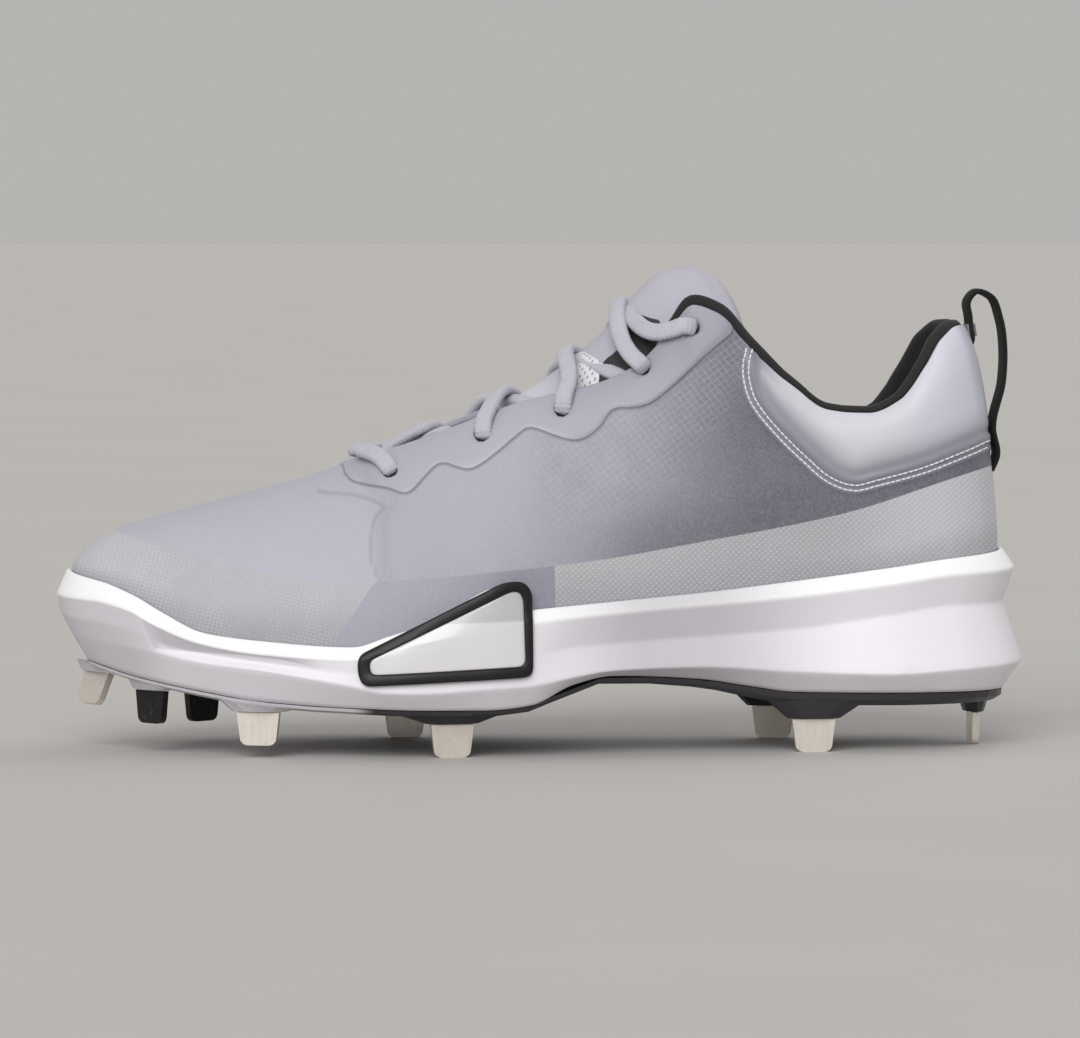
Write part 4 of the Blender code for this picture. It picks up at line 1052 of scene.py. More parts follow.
def upper_material():
    g = Graph("upper_layers", roughness=0.55, Sheen_Weight=0.12, Sheen_Roughness=0.4)
    side = g.vector_attribute("side")
    eyestay, panel = g.attribute("d_eyestay"), g.attribute("d_panel")
    on_eyestay = g.step(eyestay, -0.12, 0.12)
    on_panel = g.step(panel, -0.12, 0.12)
    on_toe = g.step(g.attribute("d_toe"), -0.6, 0.6)
    on_patch = g.step(g.attribute("d_patch"), -0.2, 0.2)
    on_rear = g.step(g.attribute("d_rear"), -0.15, 0.15)
    plain = g.rest(g.math("MAXIMUM", on_eyestay, on_panel))
    on_ripstop = g.times(g.step(g.attribute("d_ripstop"), -7.0, 6.0), plain)
    on_ripstop = g.times(on_ripstop, g.rest(on_rear))
    run = g.split(side)
    mottle = g.noise(90.0, 5.0, 0.65)
    fine = g.noise(1300.0, 3.0, 0.7)
    soft = g.noise(22.0, 3.0)

    vamp = g.mix(soft, srgb(168, 169, 182), srgb(177, 177, 190))
    front = g.mix(soft, srgb(158, 159, 172), srgb(167, 168, 180))
    middle = g.mix(mottle, srgb(151, 151, 165), srgb(161, 161, 175))
    # Painted shade: the quarter darkens towards the heel under the collar panel (back), and towards its
    # lower edge from the ripstop back (low)
    back = g.mix(mottle, srgb(88, 88, 101), srgb(104, 104, 117))
    quarter = g.mix(g.step(run[0], 157.0, 170.0), front, middle)
    quarter = g.mix(g.step(run[0], 178.0, 238.0), quarter, back)
    low = g.times(g.step(run[1], -142.0, -172.0), g.step(run[0], 165.0, 205.0))
    quarter = g.mix(g.times(low, 0.7), quarter, srgb(92, 92, 99))
    band = g.mix(mottle, srgb(164, 165, 172), srgb(175, 176, 183))
    band = g.mix(g.step(run[0], 56.0, 30.0), band, srgb(180, 182, 189))
    patch_tone = g.mix(g.step(run[0], 128.0, 165.0), srgb(156, 156, 169), srgb(138, 139, 152))
    rear_tone = g.mix(g.step(run[0], 190.0, 230.0), srgb(168, 170, 174), srgb(158, 161, 165))
    rear_tone = g.mix(g.step(run[0], 250.0, 290.0), rear_tone, srgb(188, 188, 195))
    eyestay_tone = g.mix(g.step(run[0], 150.0, 220.0), srgb(170, 171, 184), srgb(146, 146, 158))
    panel_tone = g.mix(soft, srgb(203, 201, 210), srgb(211, 208, 218))

    tone = g.mix(g.step(run[0], 114.0, 118.0), vamp, quarter)
    lines_a = g.step(g.stripes(side, (0.80, 0.60), 1.85), 0.78, 0.99)
    lines_b = g.step(g.stripes(side, (0.60, -0.80), 1.85), 0.78, 0.99)
    ripstop = g.times(g.math("MAXIMUM", lines_a, lines_b), on_ripstop)
    tone = g.over(tone, ripstop, 0.20, (196, 196, 208))
    shade = g.times(on_ripstop, g.step(g.noise(150.0, 2.0), 0.35, 0.65))
    tone = g.over(tone, shade, 0.14, (118, 118, 131))
    tone = g.mix(on_toe, tone, band)
    tone = g.mix(on_patch, tone, patch_tone)
    tone = g.mix(on_rear, tone, rear_tone)
    rows = g.times(g.stripes(side, (0.25, 0.97), 1.1), g.stripes(side, (0.97, -0.25), 1.3))
    cross = g.times(g.stripes(side, (0.74, 0.67), 1.25), g.stripes(side, (0.67, -0.74), 1.25))
    patchy = g.step(g.noise(60.0, 3.0), 0.3, 0.65)
    weave = g.times(rows, g.times(on_toe, patchy))
    weave = g.math("ADD", weave, g.times(cross, on_rear))
    on_bands = g.math("MAXIMUM", on_toe, on_rear)
    # Painted shade along the toe and rear bands where they meet the midsole
    shade_near_sole = g.times(g.step(g.attribute("level"), 0.20, 0.02), on_bands)
    tone = g.over(tone, shade_near_sole, 0.5, (136, 139, 144))
    tone = g.over(tone, weave, 0.40, (212, 214, 217))
    grit = g.times(g.step(fine, 0.35, 0.75), plain)
    tone = g.over(tone, grit, 0.12, (214, 214, 222))
    tone = g.mix(on_eyestay, tone, eyestay_tone)
    # painted shade: the panel darkens towards its stitched border, where its padding falls away, and is
    # darker still in the stitched strip along its edge
    heel_tone = g.mix(g.step(run[0], 272.0, 292.0), panel_tone, srgb(203, 205, 218))
    border = g.mix(g.math("POWER", g.step(panel, 2.6, 15.0), 0.8), srgb(124, 124, 137), heel_tone)
    border = g.mix(g.step(panel, 2.7, 3.3), srgb(128, 128, 140), border)
    tone = g.mix(on_panel, tone, border)
    # painted shadow line under the eyestay's edge, and the vamp's dark seams
    under = g.times(g.step(eyestay, -1.0, -0.1), g.rest(on_eyestay))
    tone = g.over(tone, under, 0.6, (78, 77, 88))
    seam = g.step(g.attribute("d_seam"), 1.0, 0.2)
    tone = g.over(tone, seam, 0.28, (112, 112, 125))
    second = g.step(g.attribute("d_double"), 0.9, 0.2)
    tone = g.over(tone, second, 0.08, (112, 112, 125))
    tone = g.mix(g.step(g.attribute("d_hole"), 2.7, 2.2), tone, srgb(26, 26, 29))
    tone = g.mix(g.attribute("inside"), tone, srgb(22, 22, 25))
    dirt = g.step(g.noise(60.0, 6.0, 0.7), 0.62, 0.8)
    dirt = g.times(dirt, on_toe)
    g.colour(g.over(tone, dirt, 0.14, (128, 122, 112)))

    rough = g.math("MULTIPLY_ADD", plain, 0.20, 0.40)
    g.rough(g.math("MULTIPLY_ADD", fine, 0.12, rough))
    g.relief(g.times(fine, plain), 0.05)
    g.relief(weave, 0.10)
    g.relief(ripstop, 0.07)
    g.relief(g.cells(1500.0), 0.02)
    g.relief(mottle, 0.08)
    return g.finish()


# Midsole


def fillet(points, radius):
    """Round the corners of a profile: points is (rows, stations, 3)."""
    rows = [points[0]]
    for i in range(1, len(points) - 1):
        before, here, after = points[i - 1], points[i], points[i + 1]
        back, ahead = before - here, after - here
        back_size = np.linalg.norm(back, axis=-1, keepdims=True)
        ahead_size = np.linalg.norm(ahead, axis=-1, keepdims=True)
        a = here + back / back_size * np.minimum(radius, 0.4 * back_size)
        b = here + ahead / ahead_size * np.minimum(radius, 0.4 * ahead_size)
        rows += [a, (a + b + 2 * here) / 4, b]
    rows.append(points[-1])
    return np.array(rows)


def fill_between(rows, counts):
    """Add even rows between some rows."""
    out = []
    for i in range(len(rows) - 1):
        steps = counts.get(i, 1)
        for k in range(steps):
            out.append(rows[i] + (rows[i + 1] - rows[i]) * k / steps)
    out.append(rows[-1])
    return np.array(out)


def make_midsole():
    turns = np.arange(ROUND) * 2.0 / ROUND
    bottom = plan_inset(turns, WALLS.at("in_bottom", along_of(turns)) * EDGE_DEPTH)
    rows = [with_level(bottom, base_level("bottom", bottom[:, 0]))]
    rows += [wall_edge(turns, name) for name in ("lower", "groove", "bevel", "top")]
    lip = plan_inset(turns, cup_inset(turns))
    rows.append(with_level(lip, side_level(top_share(turns))))
    bed = plan_inset(turns, cup_inset(turns) + CUP_DRAFT)
    rows.append(with_level(bed, base_level("bed", bed[:, 0])))
    rows = fillet(np.array(rows) + SHIFT, 0.55)
    rows = fill_between(rows, {0: 6, 3: 14, 6: 14, 9: 6})
    count = len(rows)
    points = rows.reshape(-1, 3)
    faces = closed_faces(count, ROUND)
    height = np.repeat(np.linspace(0, 1, count), ROUND)
    places = both_sides(points)
    masks = (("rise", height), ("d_recess", area_mask(places, FORE_RECESS)))
    sole = make_object("midsole_foam", points, faces, attributes=masks)
    merge_close(sole)
    with mesh_edit(sole) as work:
        bmesh.ops.triangulate(work, faces=[face for face in work.faces if len(face.verts) > 8])
    g = Graph("foam_white", roughness=0.5)
    soft = g.noise(16.0, 3.0)
    tone = g.mix(soft, srgb(226, 222, 230), srgb(234, 231, 238))
    rise = g.attribute("rise")
    place = g.split(g.place)
    # Painted shade: the foam darkens at the midfoot's waist and on the toe's front facet
    middle = g.times(g.step(place[0], -0.010, 0.030), g.step(place[0], 0.095, 0.045))
    tone = g.mix(g.times(g.step(place[0], -0.112, -0.128), 0.85), tone, srgb(203, 199, 206))
    tone = g.over(tone, middle, 0.9, (188, 184, 191))
    # Painted shade in the flat recess behind the toe
    recess = g.times(g.step(g.attribute("d_recess"), -0.3, 0.3), g.step(place[0], -0.069, -0.081))
    tone = g.mix(recess, tone, srgb(196, 193, 200))
    # Painted highlight: a near-white top lip of the wall, weaker at the midfoot
    lip = g.times(g.step(rise, 0.70, 0.74), g.rest(g.times(middle, 0.7)))
    tone = g.mix(lip, tone, srgb(244, 245, 247))
    dirt = g.step(g.noise(70.0, 6.0, 0.7), 0.6, 0.82)
    low = g.step(rise, 0.35, 0.0)
    tone = g.mix(g.times(g.times(dirt, low), 0.4), tone, srgb(150, 140, 124))
    g.colour(tone)
    g.relief(g.noise(700.0, 3.0), 0.05)
    g.relief(g.noise(120.0, 3.0), 0.06)
    g.shader.inputs["Subsurface Weight"].default_value = 0.04
    g.shader.inputs["Subsurface Radius"].default_value = (0.004, 0.004, 0.004)
    dress(sole, g.finish(), ("midsole",))


# Window on the outer side


def side_wall_y(x, z):
    along = x / LENGTH + 0.5
    turn = turn_of(along, "lateral")
    names = ("lower", "groove", "bevel", "top")
    heights = [float(wall_edge(turn, name)[2]) for name in names]
    insets = [float(WALLS.at("in_" + name, along)) * EDGE_DEPTH for name in names]
    return float(PLAN.at("lateral", along)) * BALL_WIDTH + float(np.interp(z, heights, insets))


def round_corners(outline, radius, count=5):
    out = []
    size = len(outline)
    for i in range(size):
        here, before, after = outline[i], outline[i - 1], outline[(i + 1) % size]
        a = here + (before - here) * min(radius / np.linalg.norm(before - here), 0.45)
        b = here + (after - here) * min(radius / np.linalg.norm(after - here), 0.45)
        for k in range(count + 1):
            t = k / count
            out.append((1 - t) ** 2 * a + 2 * t * (1 - t) * here + t * t * b)
    return np.array(out)


def even_loop(outline, count, start):
    """Even places round an outline, from where it is nearest to start."""
    closed = np.concatenate([outline, outline[:1]])
    reach = reach_along(closed)
    where = np.linspace(0.0, reach[-1], 4000, endpoint=False)
    dense = np.stack([np.interp(where, reach, closed[:, i]) for i in (0, 1)], 1)
    first = int(np.argmin(np.linalg.norm(dense - start, axis=1)))
    dense = np.roll(dense, -first, axis=0)
    return dense[(np.arange(count) * 4000 // count)]


def make_window():
    outer = np.array([((a - 0.5) * LENGTH, side_level(b)) for a, b, c, d in WINDOW_CORNERS])
    inner = np.array([((c - 0.5) * LENGTH, side_level(d)) for a, b, c, d in WINDOW_CORNERS])
    outer, inner = round_corners(outer, 2.6), round_corners(inner, 1.6)
    count = 220
    outer = even_loop(outer, count, outer[0])
    inner = even_loop(inner, count, outer[0])
    rings = []
    for share, proud in (
        (0.0, 0.35), (0.0, 1.35), (0.06, 1.75), (0.16, FRAME_PROUD),
        (0.84, FRAME_PROUD), (0.94, 1.75), (1.0, 1.35), (1.0, 0.35),
    ):
        ring = outer + (inner - outer) * share
        rings.append([(x + SHIFT[0], side_wall_y(x, z) - proud + SHIFT[1], z) for x, z in ring])
    points = np.array(rings).reshape(-1, 3)
    border = make_object("window_border", points, grid_faces(len(rings), count, close_rows=True))
    merge_close(border)
    tones = ((15, 15, 17), (25, 25, 27))
    grain = (((1200.0, 2.0), 0.02),)
    black = mottled("window_border", 0.42, (40.0, 4.0), tones, grain, Specular_IOR_Level=0.35)
    dress(border, black, ("window_frame",))
    centre = inner.mean(0)
    rings = []
    rim = ((1.0, 0.4), (1.0, PANEL_PROUD - 0.35), (0.985, PANEL_PROUD - 0.1), (0.96, PANEL_PROUD))
    for share, proud in rim:
        rings.append((centre + (inner - centre) * share, proud))
    for k in range(1, 16):
        rise = 0.25 * math.sin(math.pi / 2 * k / 16)
        rings.append((centre + (inner - centre) * 0.96 * (1 - k / 16), PANEL_PROUD + rise))
    points = [
        [(x + SHIFT[0], side_wall_y(x, z) - proud + SHIFT[1], z) for x, z in ring] for ring, proud in rings
    ]
    pane = make_object("window_pane", np.array(points).reshape(-1, 3), closed_faces(len(rings), count))
    merge_close(pane)
    g = Graph("window_pearl", roughness=0.28, Coat_Weight=0.5, Coat_Roughness=0.12)
    place = g.split(g.place)
    level = g.math("MULTIPLY_ADD", place[0], -0.03, place[2])
    upper_part = g.step(level, 0.0418, 0.0428)
    tone = g.mix(upper_part, srgb(212, 210, 214), srgb(178, 177, 182))
    tone = g.mix(g.times(g.noise(30.0, 3.0), 0.3), tone, srgb(222, 221, 224))
    g.colour(tone)
    g.relief(g.noise(60.0, 2.0), 0.03)
    dress(pane, g.finish(), ("window_panel",))


# Collar lining and insole


def make_lining():
    on_collar = [turn_of(a, "lateral") for a in np.linspace(COLLAR_FRONT, 1.0, 150)]
    on_collar += [turn_of(a, "medial") for a in np.linspace(1.0, COLLAR_FRONT, 150)[1:]]
    turns = np.array([float(turn) for turn in on_collar])
    inner, deep = WALL + GAP, WALL + GAP + LINING
    low = 0.42
    in_front = 1.0 - smooth(along_of(turns), 0.68, 0.78)

    def at(t, depth, above=None):
        level = np.full_like(turns, t)
        place = section_point(turns, level) - section_normal(turns, level) * depth
        if above is not None:
            rim = section_point(turns, np.ones_like(turns))
            up = rim - section_point(turns, np.full_like(turns, 0.94))
            run = unit(np.gradient(rim, axis=0))
            up -= run * (up * run).sum(-1, keepdims=True)
            place = place + unit(up) * above[:, None]
        return place + SHIFT

    rows = [at(t, inner) for t in np.linspace(low, 1.0, 8)]
    centre, radius_across = (0.1 * WALL + deep) / 2, (deep - 0.1 * WALL) / 2
    for k in range(13):
        angle = math.pi * k / 12
        above = 0.3 + (PIPING + 0.1 + 1.5 * in_front) * math.sin(angle) ** 0.8
        rows.append(at(1.0, centre - radius_across * math.cos(angle), above))
    fullness = 0.9
    for t in np.linspace(0.99, low, 30):
        share = (t - low) / (1.0 - low)
        rows.append(at(t, deep + fullness * math.sin(math.pi * share) ** 2))
    points = np.array(rows).reshape(-1, 3)
    columns = len(turns)
    faces = grid_faces(len(rows), columns, close_rows=True, close_columns=False)
    for j in (0, columns - 1):
        faces.append(tuple(i * columns + j for i in range(len(rows))))
    lining = make_object("collar_padding", points, faces)
    merge_close(lining)
    tones = ((18, 18, 20), (31, 31, 34))
    knit_relief = (((1400.0,), 0.12), ((300.0, 3.0), 0.08))
    knit = mottled("lining_knit", 0.85, (120.0, 4.0), tones, knit_relief, Sheen_Weight=0.08)
    dress(lining, knit, ("collar_lining",))


def make_insole():
    turns = np.arange(0, ROUND, 4) * 2.0 / ROUND
    rows = []
    for inset, rise in (
        (0.0, 0.0), (0.0, 0.85), (0.15, 0.98), (0.6, 1.08),
        (2.0, 1.12), (5.0, 1.02), (10.0, 0.92), (16.0, 0.88),
    ):
        edge = cup_inset(turns) + CUP_DRAFT + GAP + WALL + INSOLE_CLEARANCE
        plan = plan_inset(turns, edge + inset)
        rows.append(with_level(plan, base_level("bed", plan[:, 0]) + GAP + rise * INSOLE_THICK) + SHIFT)
    points = np.array(rows).reshape(-1, 3)
    columns = len(turns)
    faces = grid_faces(len(rows), columns)
    faces.append(tuple(range(columns))[::-1])
    last = len(points) - columns
    for i in range(columns // 2):
        quad = (last + i, last + i + 1, last + (columns - i - 1) % columns, last + (columns - i) % columns)
        quad = tuple(v for k, v in enumerate(quad) if v not in quad[:k])
        if len(quad) > 2:
            faces.append(quad)
    insole = make_object("sock_liner", points, faces)
    merge_close(insole)
    tones = ((26, 26, 29), (44, 44, 48))
    cloth = mottled("insole_cloth", 0.9, (150.0, 4.0), tones, (((1100.0,), 0.15),))
    dress(insole, cloth, ("insole",))


# Tongue


def make_tongue():
    across = 41
    runs = np.linspace(0.0, 1.0, 90)
    spread = np.sin(np.linspace(-math.pi / 2, math.pi / 2, across))
    run, u = np.meshgrid(runs, spread, indexing="ij")
    face, normal = tongue_face(run, u), tongue_normal(run, u)
    crown = TONGUE_CROWN * (1.0 - u**2) * smooth(run, 0.72, 0.86)
    depth, place, width = TONGUE_CHANNEL
    channel = depth * np.exp(-(((run - place) / width) ** 2))
    front = face + normal * (crown + channel)[..., None]
    thick = TONGUE_THICK + TONGUE_PAD * TONGUE.at("pad", run)
    back = face - normal * (thick * (1.0 - TONGUE_EDGE_THIN * u**4))[..., None]
    rings = [ring_of(front[i], back[i]) for i in range(len(runs))]
    # the padded lobe bends down behind the top of the throat: one line for its face, one for its back
    middle = (front[-1] + back[-1]) / 2
    centre = across // 2
    swell = np.linalg.norm(front[-1] - back[-1], axis=1)
    swell = swell / swell[centre]
    offset = middle - middle[centre]
    shift = SHIFT[[0, 2]]
    face_line = np.concatenate([front[-4::3, centre][:, [0, 2]], LOBE_FACE - shift])
    back_line = np.concatenate([back[-4::3, centre][:, [0, 2]], LOBE_BACK - shift])
    lines = []
    for line, sheet in ((face_line, front), (back_line, back)):
        line = smooth_path([(x, 0.0, z) for x, z in line], LOBE_SAMPLES)
        begin = int(np.argmin(np.linalg.norm(line - sheet[-1, centre] * [1, 0, 1], axis=1)))
        lines.append((line, begin, len(line) - 1 - begin))
    for k in range(LOBE_RINGS + 1):
        s = k / LOBE_RINGS
        top, low = (line[int(begin + left * s)] for line, begin, left in lines)
        out = unit(top - low)
        along_face = np.cross([0.0, 1.0, 0.0], out)
        if k == 0:
            on_face, off_face = offset @ along_face, offset @ out
            continue
        full = math.sqrt(max(0.0, 1.0 - max(0.0, (s - LOBE_END) / (1.0 - LOBE_END)) ** 2))
        spine = (top + low) / 2 + np.outer(on_face, along_face) + np.outer(off_face * (1.0 - 0.5 * s), out)
        spine[:, 1] = middle[:, 1] * math.sqrt(1.0 - 0.45 * s**3)
        half = out * (swell * full * np.linalg.norm(top - low) / 2)[:, None]
        rings.append(ring_of(spine + half, spine - half))
    rings = np.array(rings) + SHIFT
    points = rings.reshape(-1, 3)
    size = rings.shape[1]
    faces = grid_faces(len(rings), size)
    faces.append(tuple(range(size))[::-1])
    places = both_sides(points)
    inner = np.tile(np.concatenate([np.zeros(across + 1), np.ones(across), [0.0]]), len(rings))
    lower = np.repeat(np.concatenate([np.linspace(0, 1, len(runs)), np.full(LOBE_RINGS, 1.0)]), size)
    flat = np.stack([points[:, 1], places[:, 0] / PIXELS_PER_MM, np.zeros(len(points))], 1)
    tongue = make_object(
        "tongue_pad",
        points,
        faces,
        attributes=(
            ("d_mesh", area_mask(places, TONGUE_MESH)),
            ("d_shadow", area_mask(places, TONGUE_SHADOW)),
            ("inner", np.where(lower > 0.9, 0.0, inner)),
            ("flat", flat),
        ),
    )
    merge_close(tongue, 0.02)
    with mesh_edit(tongue) as work:
        bmesh.ops.holes_fill(work, edges=work.edges, sides=0)
        bmesh.ops.triangulate(work, faces=[face for face in work.faces if len(face.verts) > 4])
    g = Graph("tongue_cloth", roughness=0.6, Sheen_Weight=0.1)
    flat_at = g.vector_attribute("flat")
    tone = g.mix(g.noise(26.0, 3.0), srgb(173, 171, 184), srgb(181, 178, 191))
    # Painted highlight: the tongue is lighter towards its front
    forward = g.split(flat_at)[1]
    tone = g.mix(g.step(forward, 175.0, 160.0), tone, srgb(200, 199, 209))
    mesh_area = g.step(g.attribute("d_mesh"), -0.1, 0.2)
    dots = [g.stripes(flat_at, way, 1.35) for way in ((1.0, 0.0), (0.5, 0.87), (-0.5, 0.87))]
    pore = g.times(g.times(dots[0], dots[1]), dots[2])
    pore = g.times(g.step(pore, 0.25, 0.55), mesh_area)
    tone = g.mix(mesh_area, tone, srgb(222, 221, 226))
    tone = g.over(tone, pore, 0.75, (140, 140, 148))
    # Painted shadow beside the lace strands, and the tongue's dark back
    dark = g.math("MAXIMUM", g.step(g.attribute("d_shadow"), -0.15, 0.15), g.attribute("inner"))
    g.colour(g.mix(dark, tone, srgb(26, 26, 29)))
    g.relief(g.times(pore, -1.0), 0.30)
    g.relief(g.noise(1100.0, 2.0), 0.04)
    g.relief(g.noise(160.0, 4.0), 0.08)
    dress(tongue, g.finish(), ("tongue",))


def ring_of(front, back):
    edge = (front + back) / 2
    return np.concatenate([front, edge[-1:], back[::-1], edge[:1]])


# Laces


def surface_finder(thing):
    """Casts the picture's rays onto a piece, on the outer side or mirrored on the inner side."""
    mesh = thing.data
    tree = BVHTree.FromPolygons(
        [tuple(v.co) for v in mesh.vertices], [tuple(p.vertices) for p in mesh.polygons]
    )

    def find(place, side):
        ray, eye = view_ray(place), EYE
        if side == "medial":
            ray, eye = ray * FLIP, eye * FLIP
        hit, normal, *_ = tree.ray_cast(Vector(eye * MM), Vector(ray))
        if hit is None:
            return None, None
        normal = np.array(normal)
        if normal @ ray > 0:
            normal = -normal
        return np.array(hit) / MM, normal

    return find


def flat_round(angles, power=0.72):
    """Across and height of a flat band with round edges."""
    across, height = np.cos(angles), np.sin(angles)
    return np.sign(across) * np.abs(across) ** power, np.sign(height) * np.abs(height) ** power


def lace_strand(points, facings, flats, count=250):
    points, facings = np.array(points), np.array(facings)
    path = smooth_path(points, count)
    reach, own = reach_along(path), reach_along(points)
    share, own = reach / reach[-1], own / own[-1]
    facing = np.stack([np.interp(share, own, facings[:, i]) for i in range(3)], 1)
    flat = np.interp(share, own, flats)

    def profile(i, angles):
        rib = 1.0 + 0.045 * math.cos(2.0 * math.pi * reach[i] / 1.15)
        wide, high = flat_round(angles)
        return wide * BAND_WIDE / 2 * (0.6 + 0.4 * flat[i]) * rib, high * BAND_THICK / 2 * flat[i] * rib

    return sweep(path, facing, profile)


class Throat:
    """Places on the upper round the throat, found from the side view."""

    def __init__(self, turn, t, places):
        self.turn, self.t, self.places = turn, t, places
        self.lateral = turn <= 1.0

    def at(self, place, side):
        """Turn and level of the upper's point that stands at a place of the side view."""
        mine = self.lateral if side == "lateral" else ~self.lateral
        gap = np.linalg.norm(self.places - np.array(place, float), axis=-1)
        i, j = np.unravel_index(np.argmin(np.where(mine, gap, 1e9)), gap.shape)
        return self.turn[i, j], self.t[i, j]

    def rim(self, x, side):
        """Turn at which the rim stands at an x of the side view."""
        turn = self.turn[:, -1]
        along = along_of(turn)
        mine = self.lateral[:, -1] if side == "lateral" else ~self.lateral[:, -1]
        mine = mine & (along > THROAT_FRONT) & (along < 0.70)
        return turn[np.argmin(np.where(mine, np.abs(self.places[:, -1, 0] - x), 1e9))]


def lifted(turn, t, lift):
    turn, t = np.array(turn), np.array(t)
    normal = section_normal(turn, t)
    return section_point(turn, t) + SHIFT + normal * lift, normal


def out_of_hole(throat, hole, rim_x, side):
    """A strand from inside an eyelet, over the eyestay, to the rim."""
    begin = throat.at(hole, side)
    end = (throat.rim(rim_x, side), 1.0)
    on_top = OVERLAY + BAND_THICK / 2 + 0.15
    points, facings = [], []
    for share, lift in ((0.0, -2.2), (0.02, 0.5), (0.24, on_top - 0.2), (0.62, on_top), (1.0, on_top + 0.2)):
        turn = begin[0] + (end[0] - begin[0]) * share
        t = begin[1] + (end[1] - begin[1]) * share
        point, normal = lifted(turn, t, lift)
        points.append(point)
        facings.append(normal)
    return points, facings, [0.8, 1.0, 1.0, 1.0, 1.0]


def under_rim(throat, rim_x, side):
    """A strand's last stretch, down to the rim and under it."""
    turn = throat.rim(rim_x, side)
    rim, normal = lifted(turn, 1.0, 0.0)
    inward = np.array([-1.6, 5.0 if side == "lateral" else -5.0, 0.0])
    low = rim + inward - normal * 0.6
    tuck = rim - inward * 0.7 - normal * (WALL + 1.3)
    return [low, tuck], [normal, normal], [0.8, 0.5]


# Where the laces run in the side view: each eyelet's strand leaves the eyestay at an x, crosses the
# middle at a ridge, and goes under the far rim at another x
BAR = (366, (372, 445))
CROSSINGS = (
    ((420, 423), None, 392, 452),
    ((502, 386), 1, 496, 534),
    ((565, 345), 2, 568, 624),
    ((616, 297), 3, 641, None),
)
LAST_EXIT = 668


def make_laces(throat):
    g = Graph("lace_weave", roughness=0.72, Sheen_Weight=0.25)
    base = g.mix(g.noise(200.0, 4.0), srgb(182, 180, 192), srgb(198, 196, 207))
    fibre = g.noise(1600.0, 2.0, stretch=(1.0, 1.0, 0.4))
    g.colour(g.mix(g.times(fibre, 0.35), base, srgb(146, 145, 157)))
    g.relief(g.cells(2200.0), 0.12)
    g.relief(fibre, 0.06)
    weave = g.finish()
    up = np.array([-0.45, 0.0, 0.9])
    exit_x, middle = BAR
    near = out_of_hole(throat, EYELETS[0], exit_x, "lateral")
    far = out_of_hole(throat, EYELETS[0], exit_x, "medial")
    top = at_plane(middle, SHIFT[1] + 4.0) - up * 1.2
    points = near[0] + [top] + far[0][::-1]
    facings = near[1] + [up] + far[1][::-1]
    strand = lace_strand(points, facings, near[2] + [1.0] + far[2][::-1])
    dress(join_parts("lace_bar_weave", [strand]), weave, ("lace_bar",))
    for number, (ridge, hole, exit_x, tuck_x) in enumerate(CROSSINGS):
        parts = []
        for side, other in (("lateral", "medial"), ("medial", "lateral")):
            sunk = 1.9 if side == "lateral" else 5.0
            top = at_plane(ridge, SHIFT[1] + 2.0) - up * sunk
            if hole is None:
                start = [list(reversed(part)) for part in under_rim(throat, exit_x, side)]
            else:
                start = out_of_hole(throat, EYELETS[hole], exit_x, side)
            if tuck_x is None:
                last = out_of_hole(throat, EYELETS[4], LAST_EXIT, other)
                end = [list(reversed(part)) for part in last]
            else:
                end = under_rim(throat, tuck_x, other)
            points = start[0] + [top] + end[0]
            facings = start[1] + [up] + end[1]
            parts.append(lace_strand(points, facings, start[2] + [1.0] + end[2]))
        name = "lace_cross_%d" % (number + 1)
        dress(join_parts(name + "_weave", parts), weave, (name,))


# Stitching


def thread_profile(i, angles):
    return np.cos(angles) * THREAD_RADII[0], np.sin(angles) * THREAD_RADII[1]


def make_stitches(find):
    """Double rows of thread round the collar panel."""
    edge = PANEL_EDGE[4:-4]
    run = np.gradient(edge, axis=0)
    normal = unit(np.stack([run[:, 1], -run[:, 0]], 1))
    parts = []
    for side in ("lateral", "medial"):
        for line in (edge + normal * offset for offset in THREAD_ROWS):
            reach = reach_along(line)
            count = int(reach[-1] / STITCH)
            where = np.linspace(0.0, reach[-1], count * 3 + 1)
            places = np.stack([np.interp(where, reach, line[:, i]) for i in (0, 1)], 1)
            hits = [find(place, side) for place in places]
            for k in range(count):
                trio = hits[3 * k : 3 * k + 3]
                if any(hit is None for hit, _ in trio):
                    continue
                (a, na), (b, nb), (c, nc) = trio
                points = np.array([a - na * 0.3, a + na * 0.06, b + nb * 0.2, c + nc * 0.06, c - nc * 0.3])
                path = smooth_path(points, 7)
                facing = np.repeat(((na + nc) / 2)[None], 7, 0)
                if np.linalg.norm(c - a) > LONGEST_STITCH:
                    continue
                parts.append(sweep(path, facing, thread_profile))
    tones = ((214, 213, 222), (230, 229, 236))
    thread = mottled("thread_pale", 0.5, (800.0, 2.0), tones, (((2500.0, 2.0), 0.05),))
    dress(join_parts("collar_stitching", parts), thread)


# Pull loop


LOOP_PLACES = (
    (0.14, 0.30),
    (0.10, 0.72),
    (0.32, 1.00),
    (0.70, 0.86),
    (0.94, 0.25),
    (1.05, -0.60),
    (1.02, -1.50),
)
LOOP_REACH = 12.0
LOOP_RISE = 11.0
LOOP_WIDTH = 11.0
LOOP_THICK = 1.7  # the solid's is 1.8


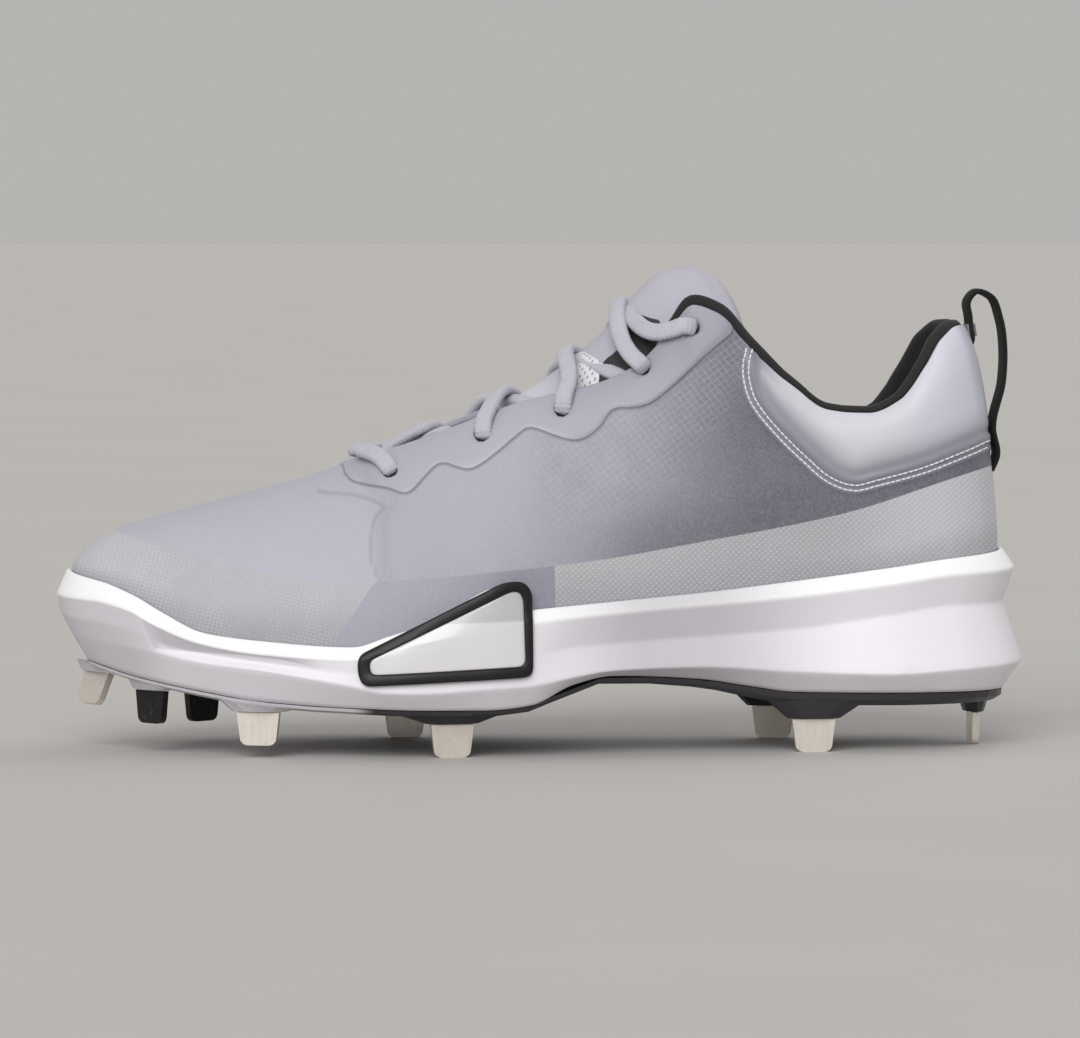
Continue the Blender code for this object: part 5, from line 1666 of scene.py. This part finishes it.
def make_loop():
    one = np.array(1.0)

    def heel(t, above):
        t = np.array(t)
        return section_point(one, t) + section_normal(one, t) * above

    out = GAP + LOOP_THICK / 2 + 0.6
    rim = section_point(one, np.array(1.0))
    points = [heel(0.84, -1.4), heel(0.90, out - 0.6), heel(0.97, out)]
    points += [rim + np.array([out * LOOP_REACH, 0.0, up * LOOP_RISE]) for out, up in LOOP_PLACES]
    points += [heel(0.50, out), heel(0.40, out), heel(0.35, -0.6)]
    path = smooth_path([(p[0], 0.0, p[2]) for p in points], 150) + SHIFT
    facing = np.stack([-np.gradient(path[:, 2]), np.zeros(len(path)), np.gradient(path[:, 0])], 1)

    def profile(i, angles):
        across, height = np.cos(angles), np.sin(angles)
        wide = np.sign(across) * np.abs(across) ** 0.35 * LOOP_WIDTH / 2
        return wide, np.sign(height) * np.abs(height) ** 0.7 * LOOP_THICK / 2

    tube, faces = sweep(path, facing, profile)
    loop = make_object("pull_loop_webbing", tube, faces)
    g = Graph("webbing_black", roughness=0.8)
    g.colour(g.mix(g.noise(200.0, 3.0), srgb(16, 16, 18), srgb(32, 32, 35)))
    ribs = g.node("ShaderNodeTexWave", {"Scale": 420.0, "Distortion": 0.4}, bands_direction="Z")
    g.relief(ribs.outputs["Fac"], 0.12)
    g.relief(g.noise(1400.0, 2.0), 0.06)
    dress(loop, g.finish(), ("pull_loop",))
    base = slice(9, 17)
    tab = sweep(path[base], facing[base], lambda i, angles: [1.9 * w for w in profile(i, angles)])
    wide = np.array([1.0, 0.45, 1.0])
    middle = tab[0].mean(0)
    tab = (middle + (tab[0] - middle) * wide, tab[1])
    tones = ((112, 112, 116), (134, 134, 138))
    grey = mottled("tab_grey", 0.6, (300.0, 3.0), tones, (((1200.0, 2.0), 0.05),))
    dress(join_parts("pull_loop_tab", [tab]), grey)


# Plate and blades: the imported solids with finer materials


def dress_plate():
    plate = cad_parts["plate"]
    g = Graph("plate_moulded", roughness=0.36)
    place = g.split(g.place)
    pale = g.step(place[0], -0.054, -0.062)
    black = g.mix(g.noise(30.0, 5.0), srgb(30, 29, 33), srgb(52, 49, 55))
    white = g.mix(g.noise(40.0, 3.0), srgb(176, 173, 180), srgb(200, 197, 203))
    g.colour(g.mix(pale, black, white))
    g.relief(g.noise(500.0, 3.0), 0.04)
    set_material(plate, g.finish())


def blade_metal(name, bright, dark):
    g = Graph(name, roughness=0.3, Metallic=0.75)
    streak = g.noise(900.0, 2.0, stretch=(1.0, 1.0, 0.15))
    wear = g.step(g.noise(420.0, 5.0, 0.7), 0.55, 0.75)
    tone = g.mix(streak, dark, bright)
    g.colour(g.over(tone, wear, 0.3, (150, 140, 126)))
    rough = g.math("MULTIPLY_ADD", streak, 0.2, 0.22)
    g.rough(g.math("MULTIPLY_ADD", wear, 0.15, rough))
    g.relief(g.noise(900.0, 3.0, stretch=(1.0, 1.0, 6.0)), 0.03)
    g.relief(wear, 0.02)
    return g.finish()


def dress_blades():
    steel = blade_metal("blade_steel", srgb(236, 229, 220), srgb(224, 216, 206))
    # The front blades are the same steel, painted dark for the shade and dark reflections they show
    black = blade_metal("blade_steel_painted_dark", srgb(52, 50, 52), srgb(34, 33, 35))
    for name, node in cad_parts.items():
        if name.startswith("spike_"):
            bevel(node, BLADE_BEVEL)
            set_material(node, black if name.startswith("spike_front") else steel)


def bevel(thing, width):
    edge = thing.modifiers.new("edge", "BEVEL")
    edge.width = width * MM
    edge.segments = 2
    edge.limit_method = "ANGLE"
    edge.angle_limit = math.radians(38.0)


def set_material(thing, material):
    if not thing.material_slots:
        thing.data.materials.append(material)
    for place in thing.material_slots:
        place.material = material


make_camera()
make_stage()
upper, *upper_grid = make_upper()
make_midsole()
make_window()
make_lining()
make_insole()
make_tongue()
finder = surface_finder(upper)
make_laces(Throat(*upper_grid))
make_stitches(finder)
make_loop()
dress_plate()
dress_blades()
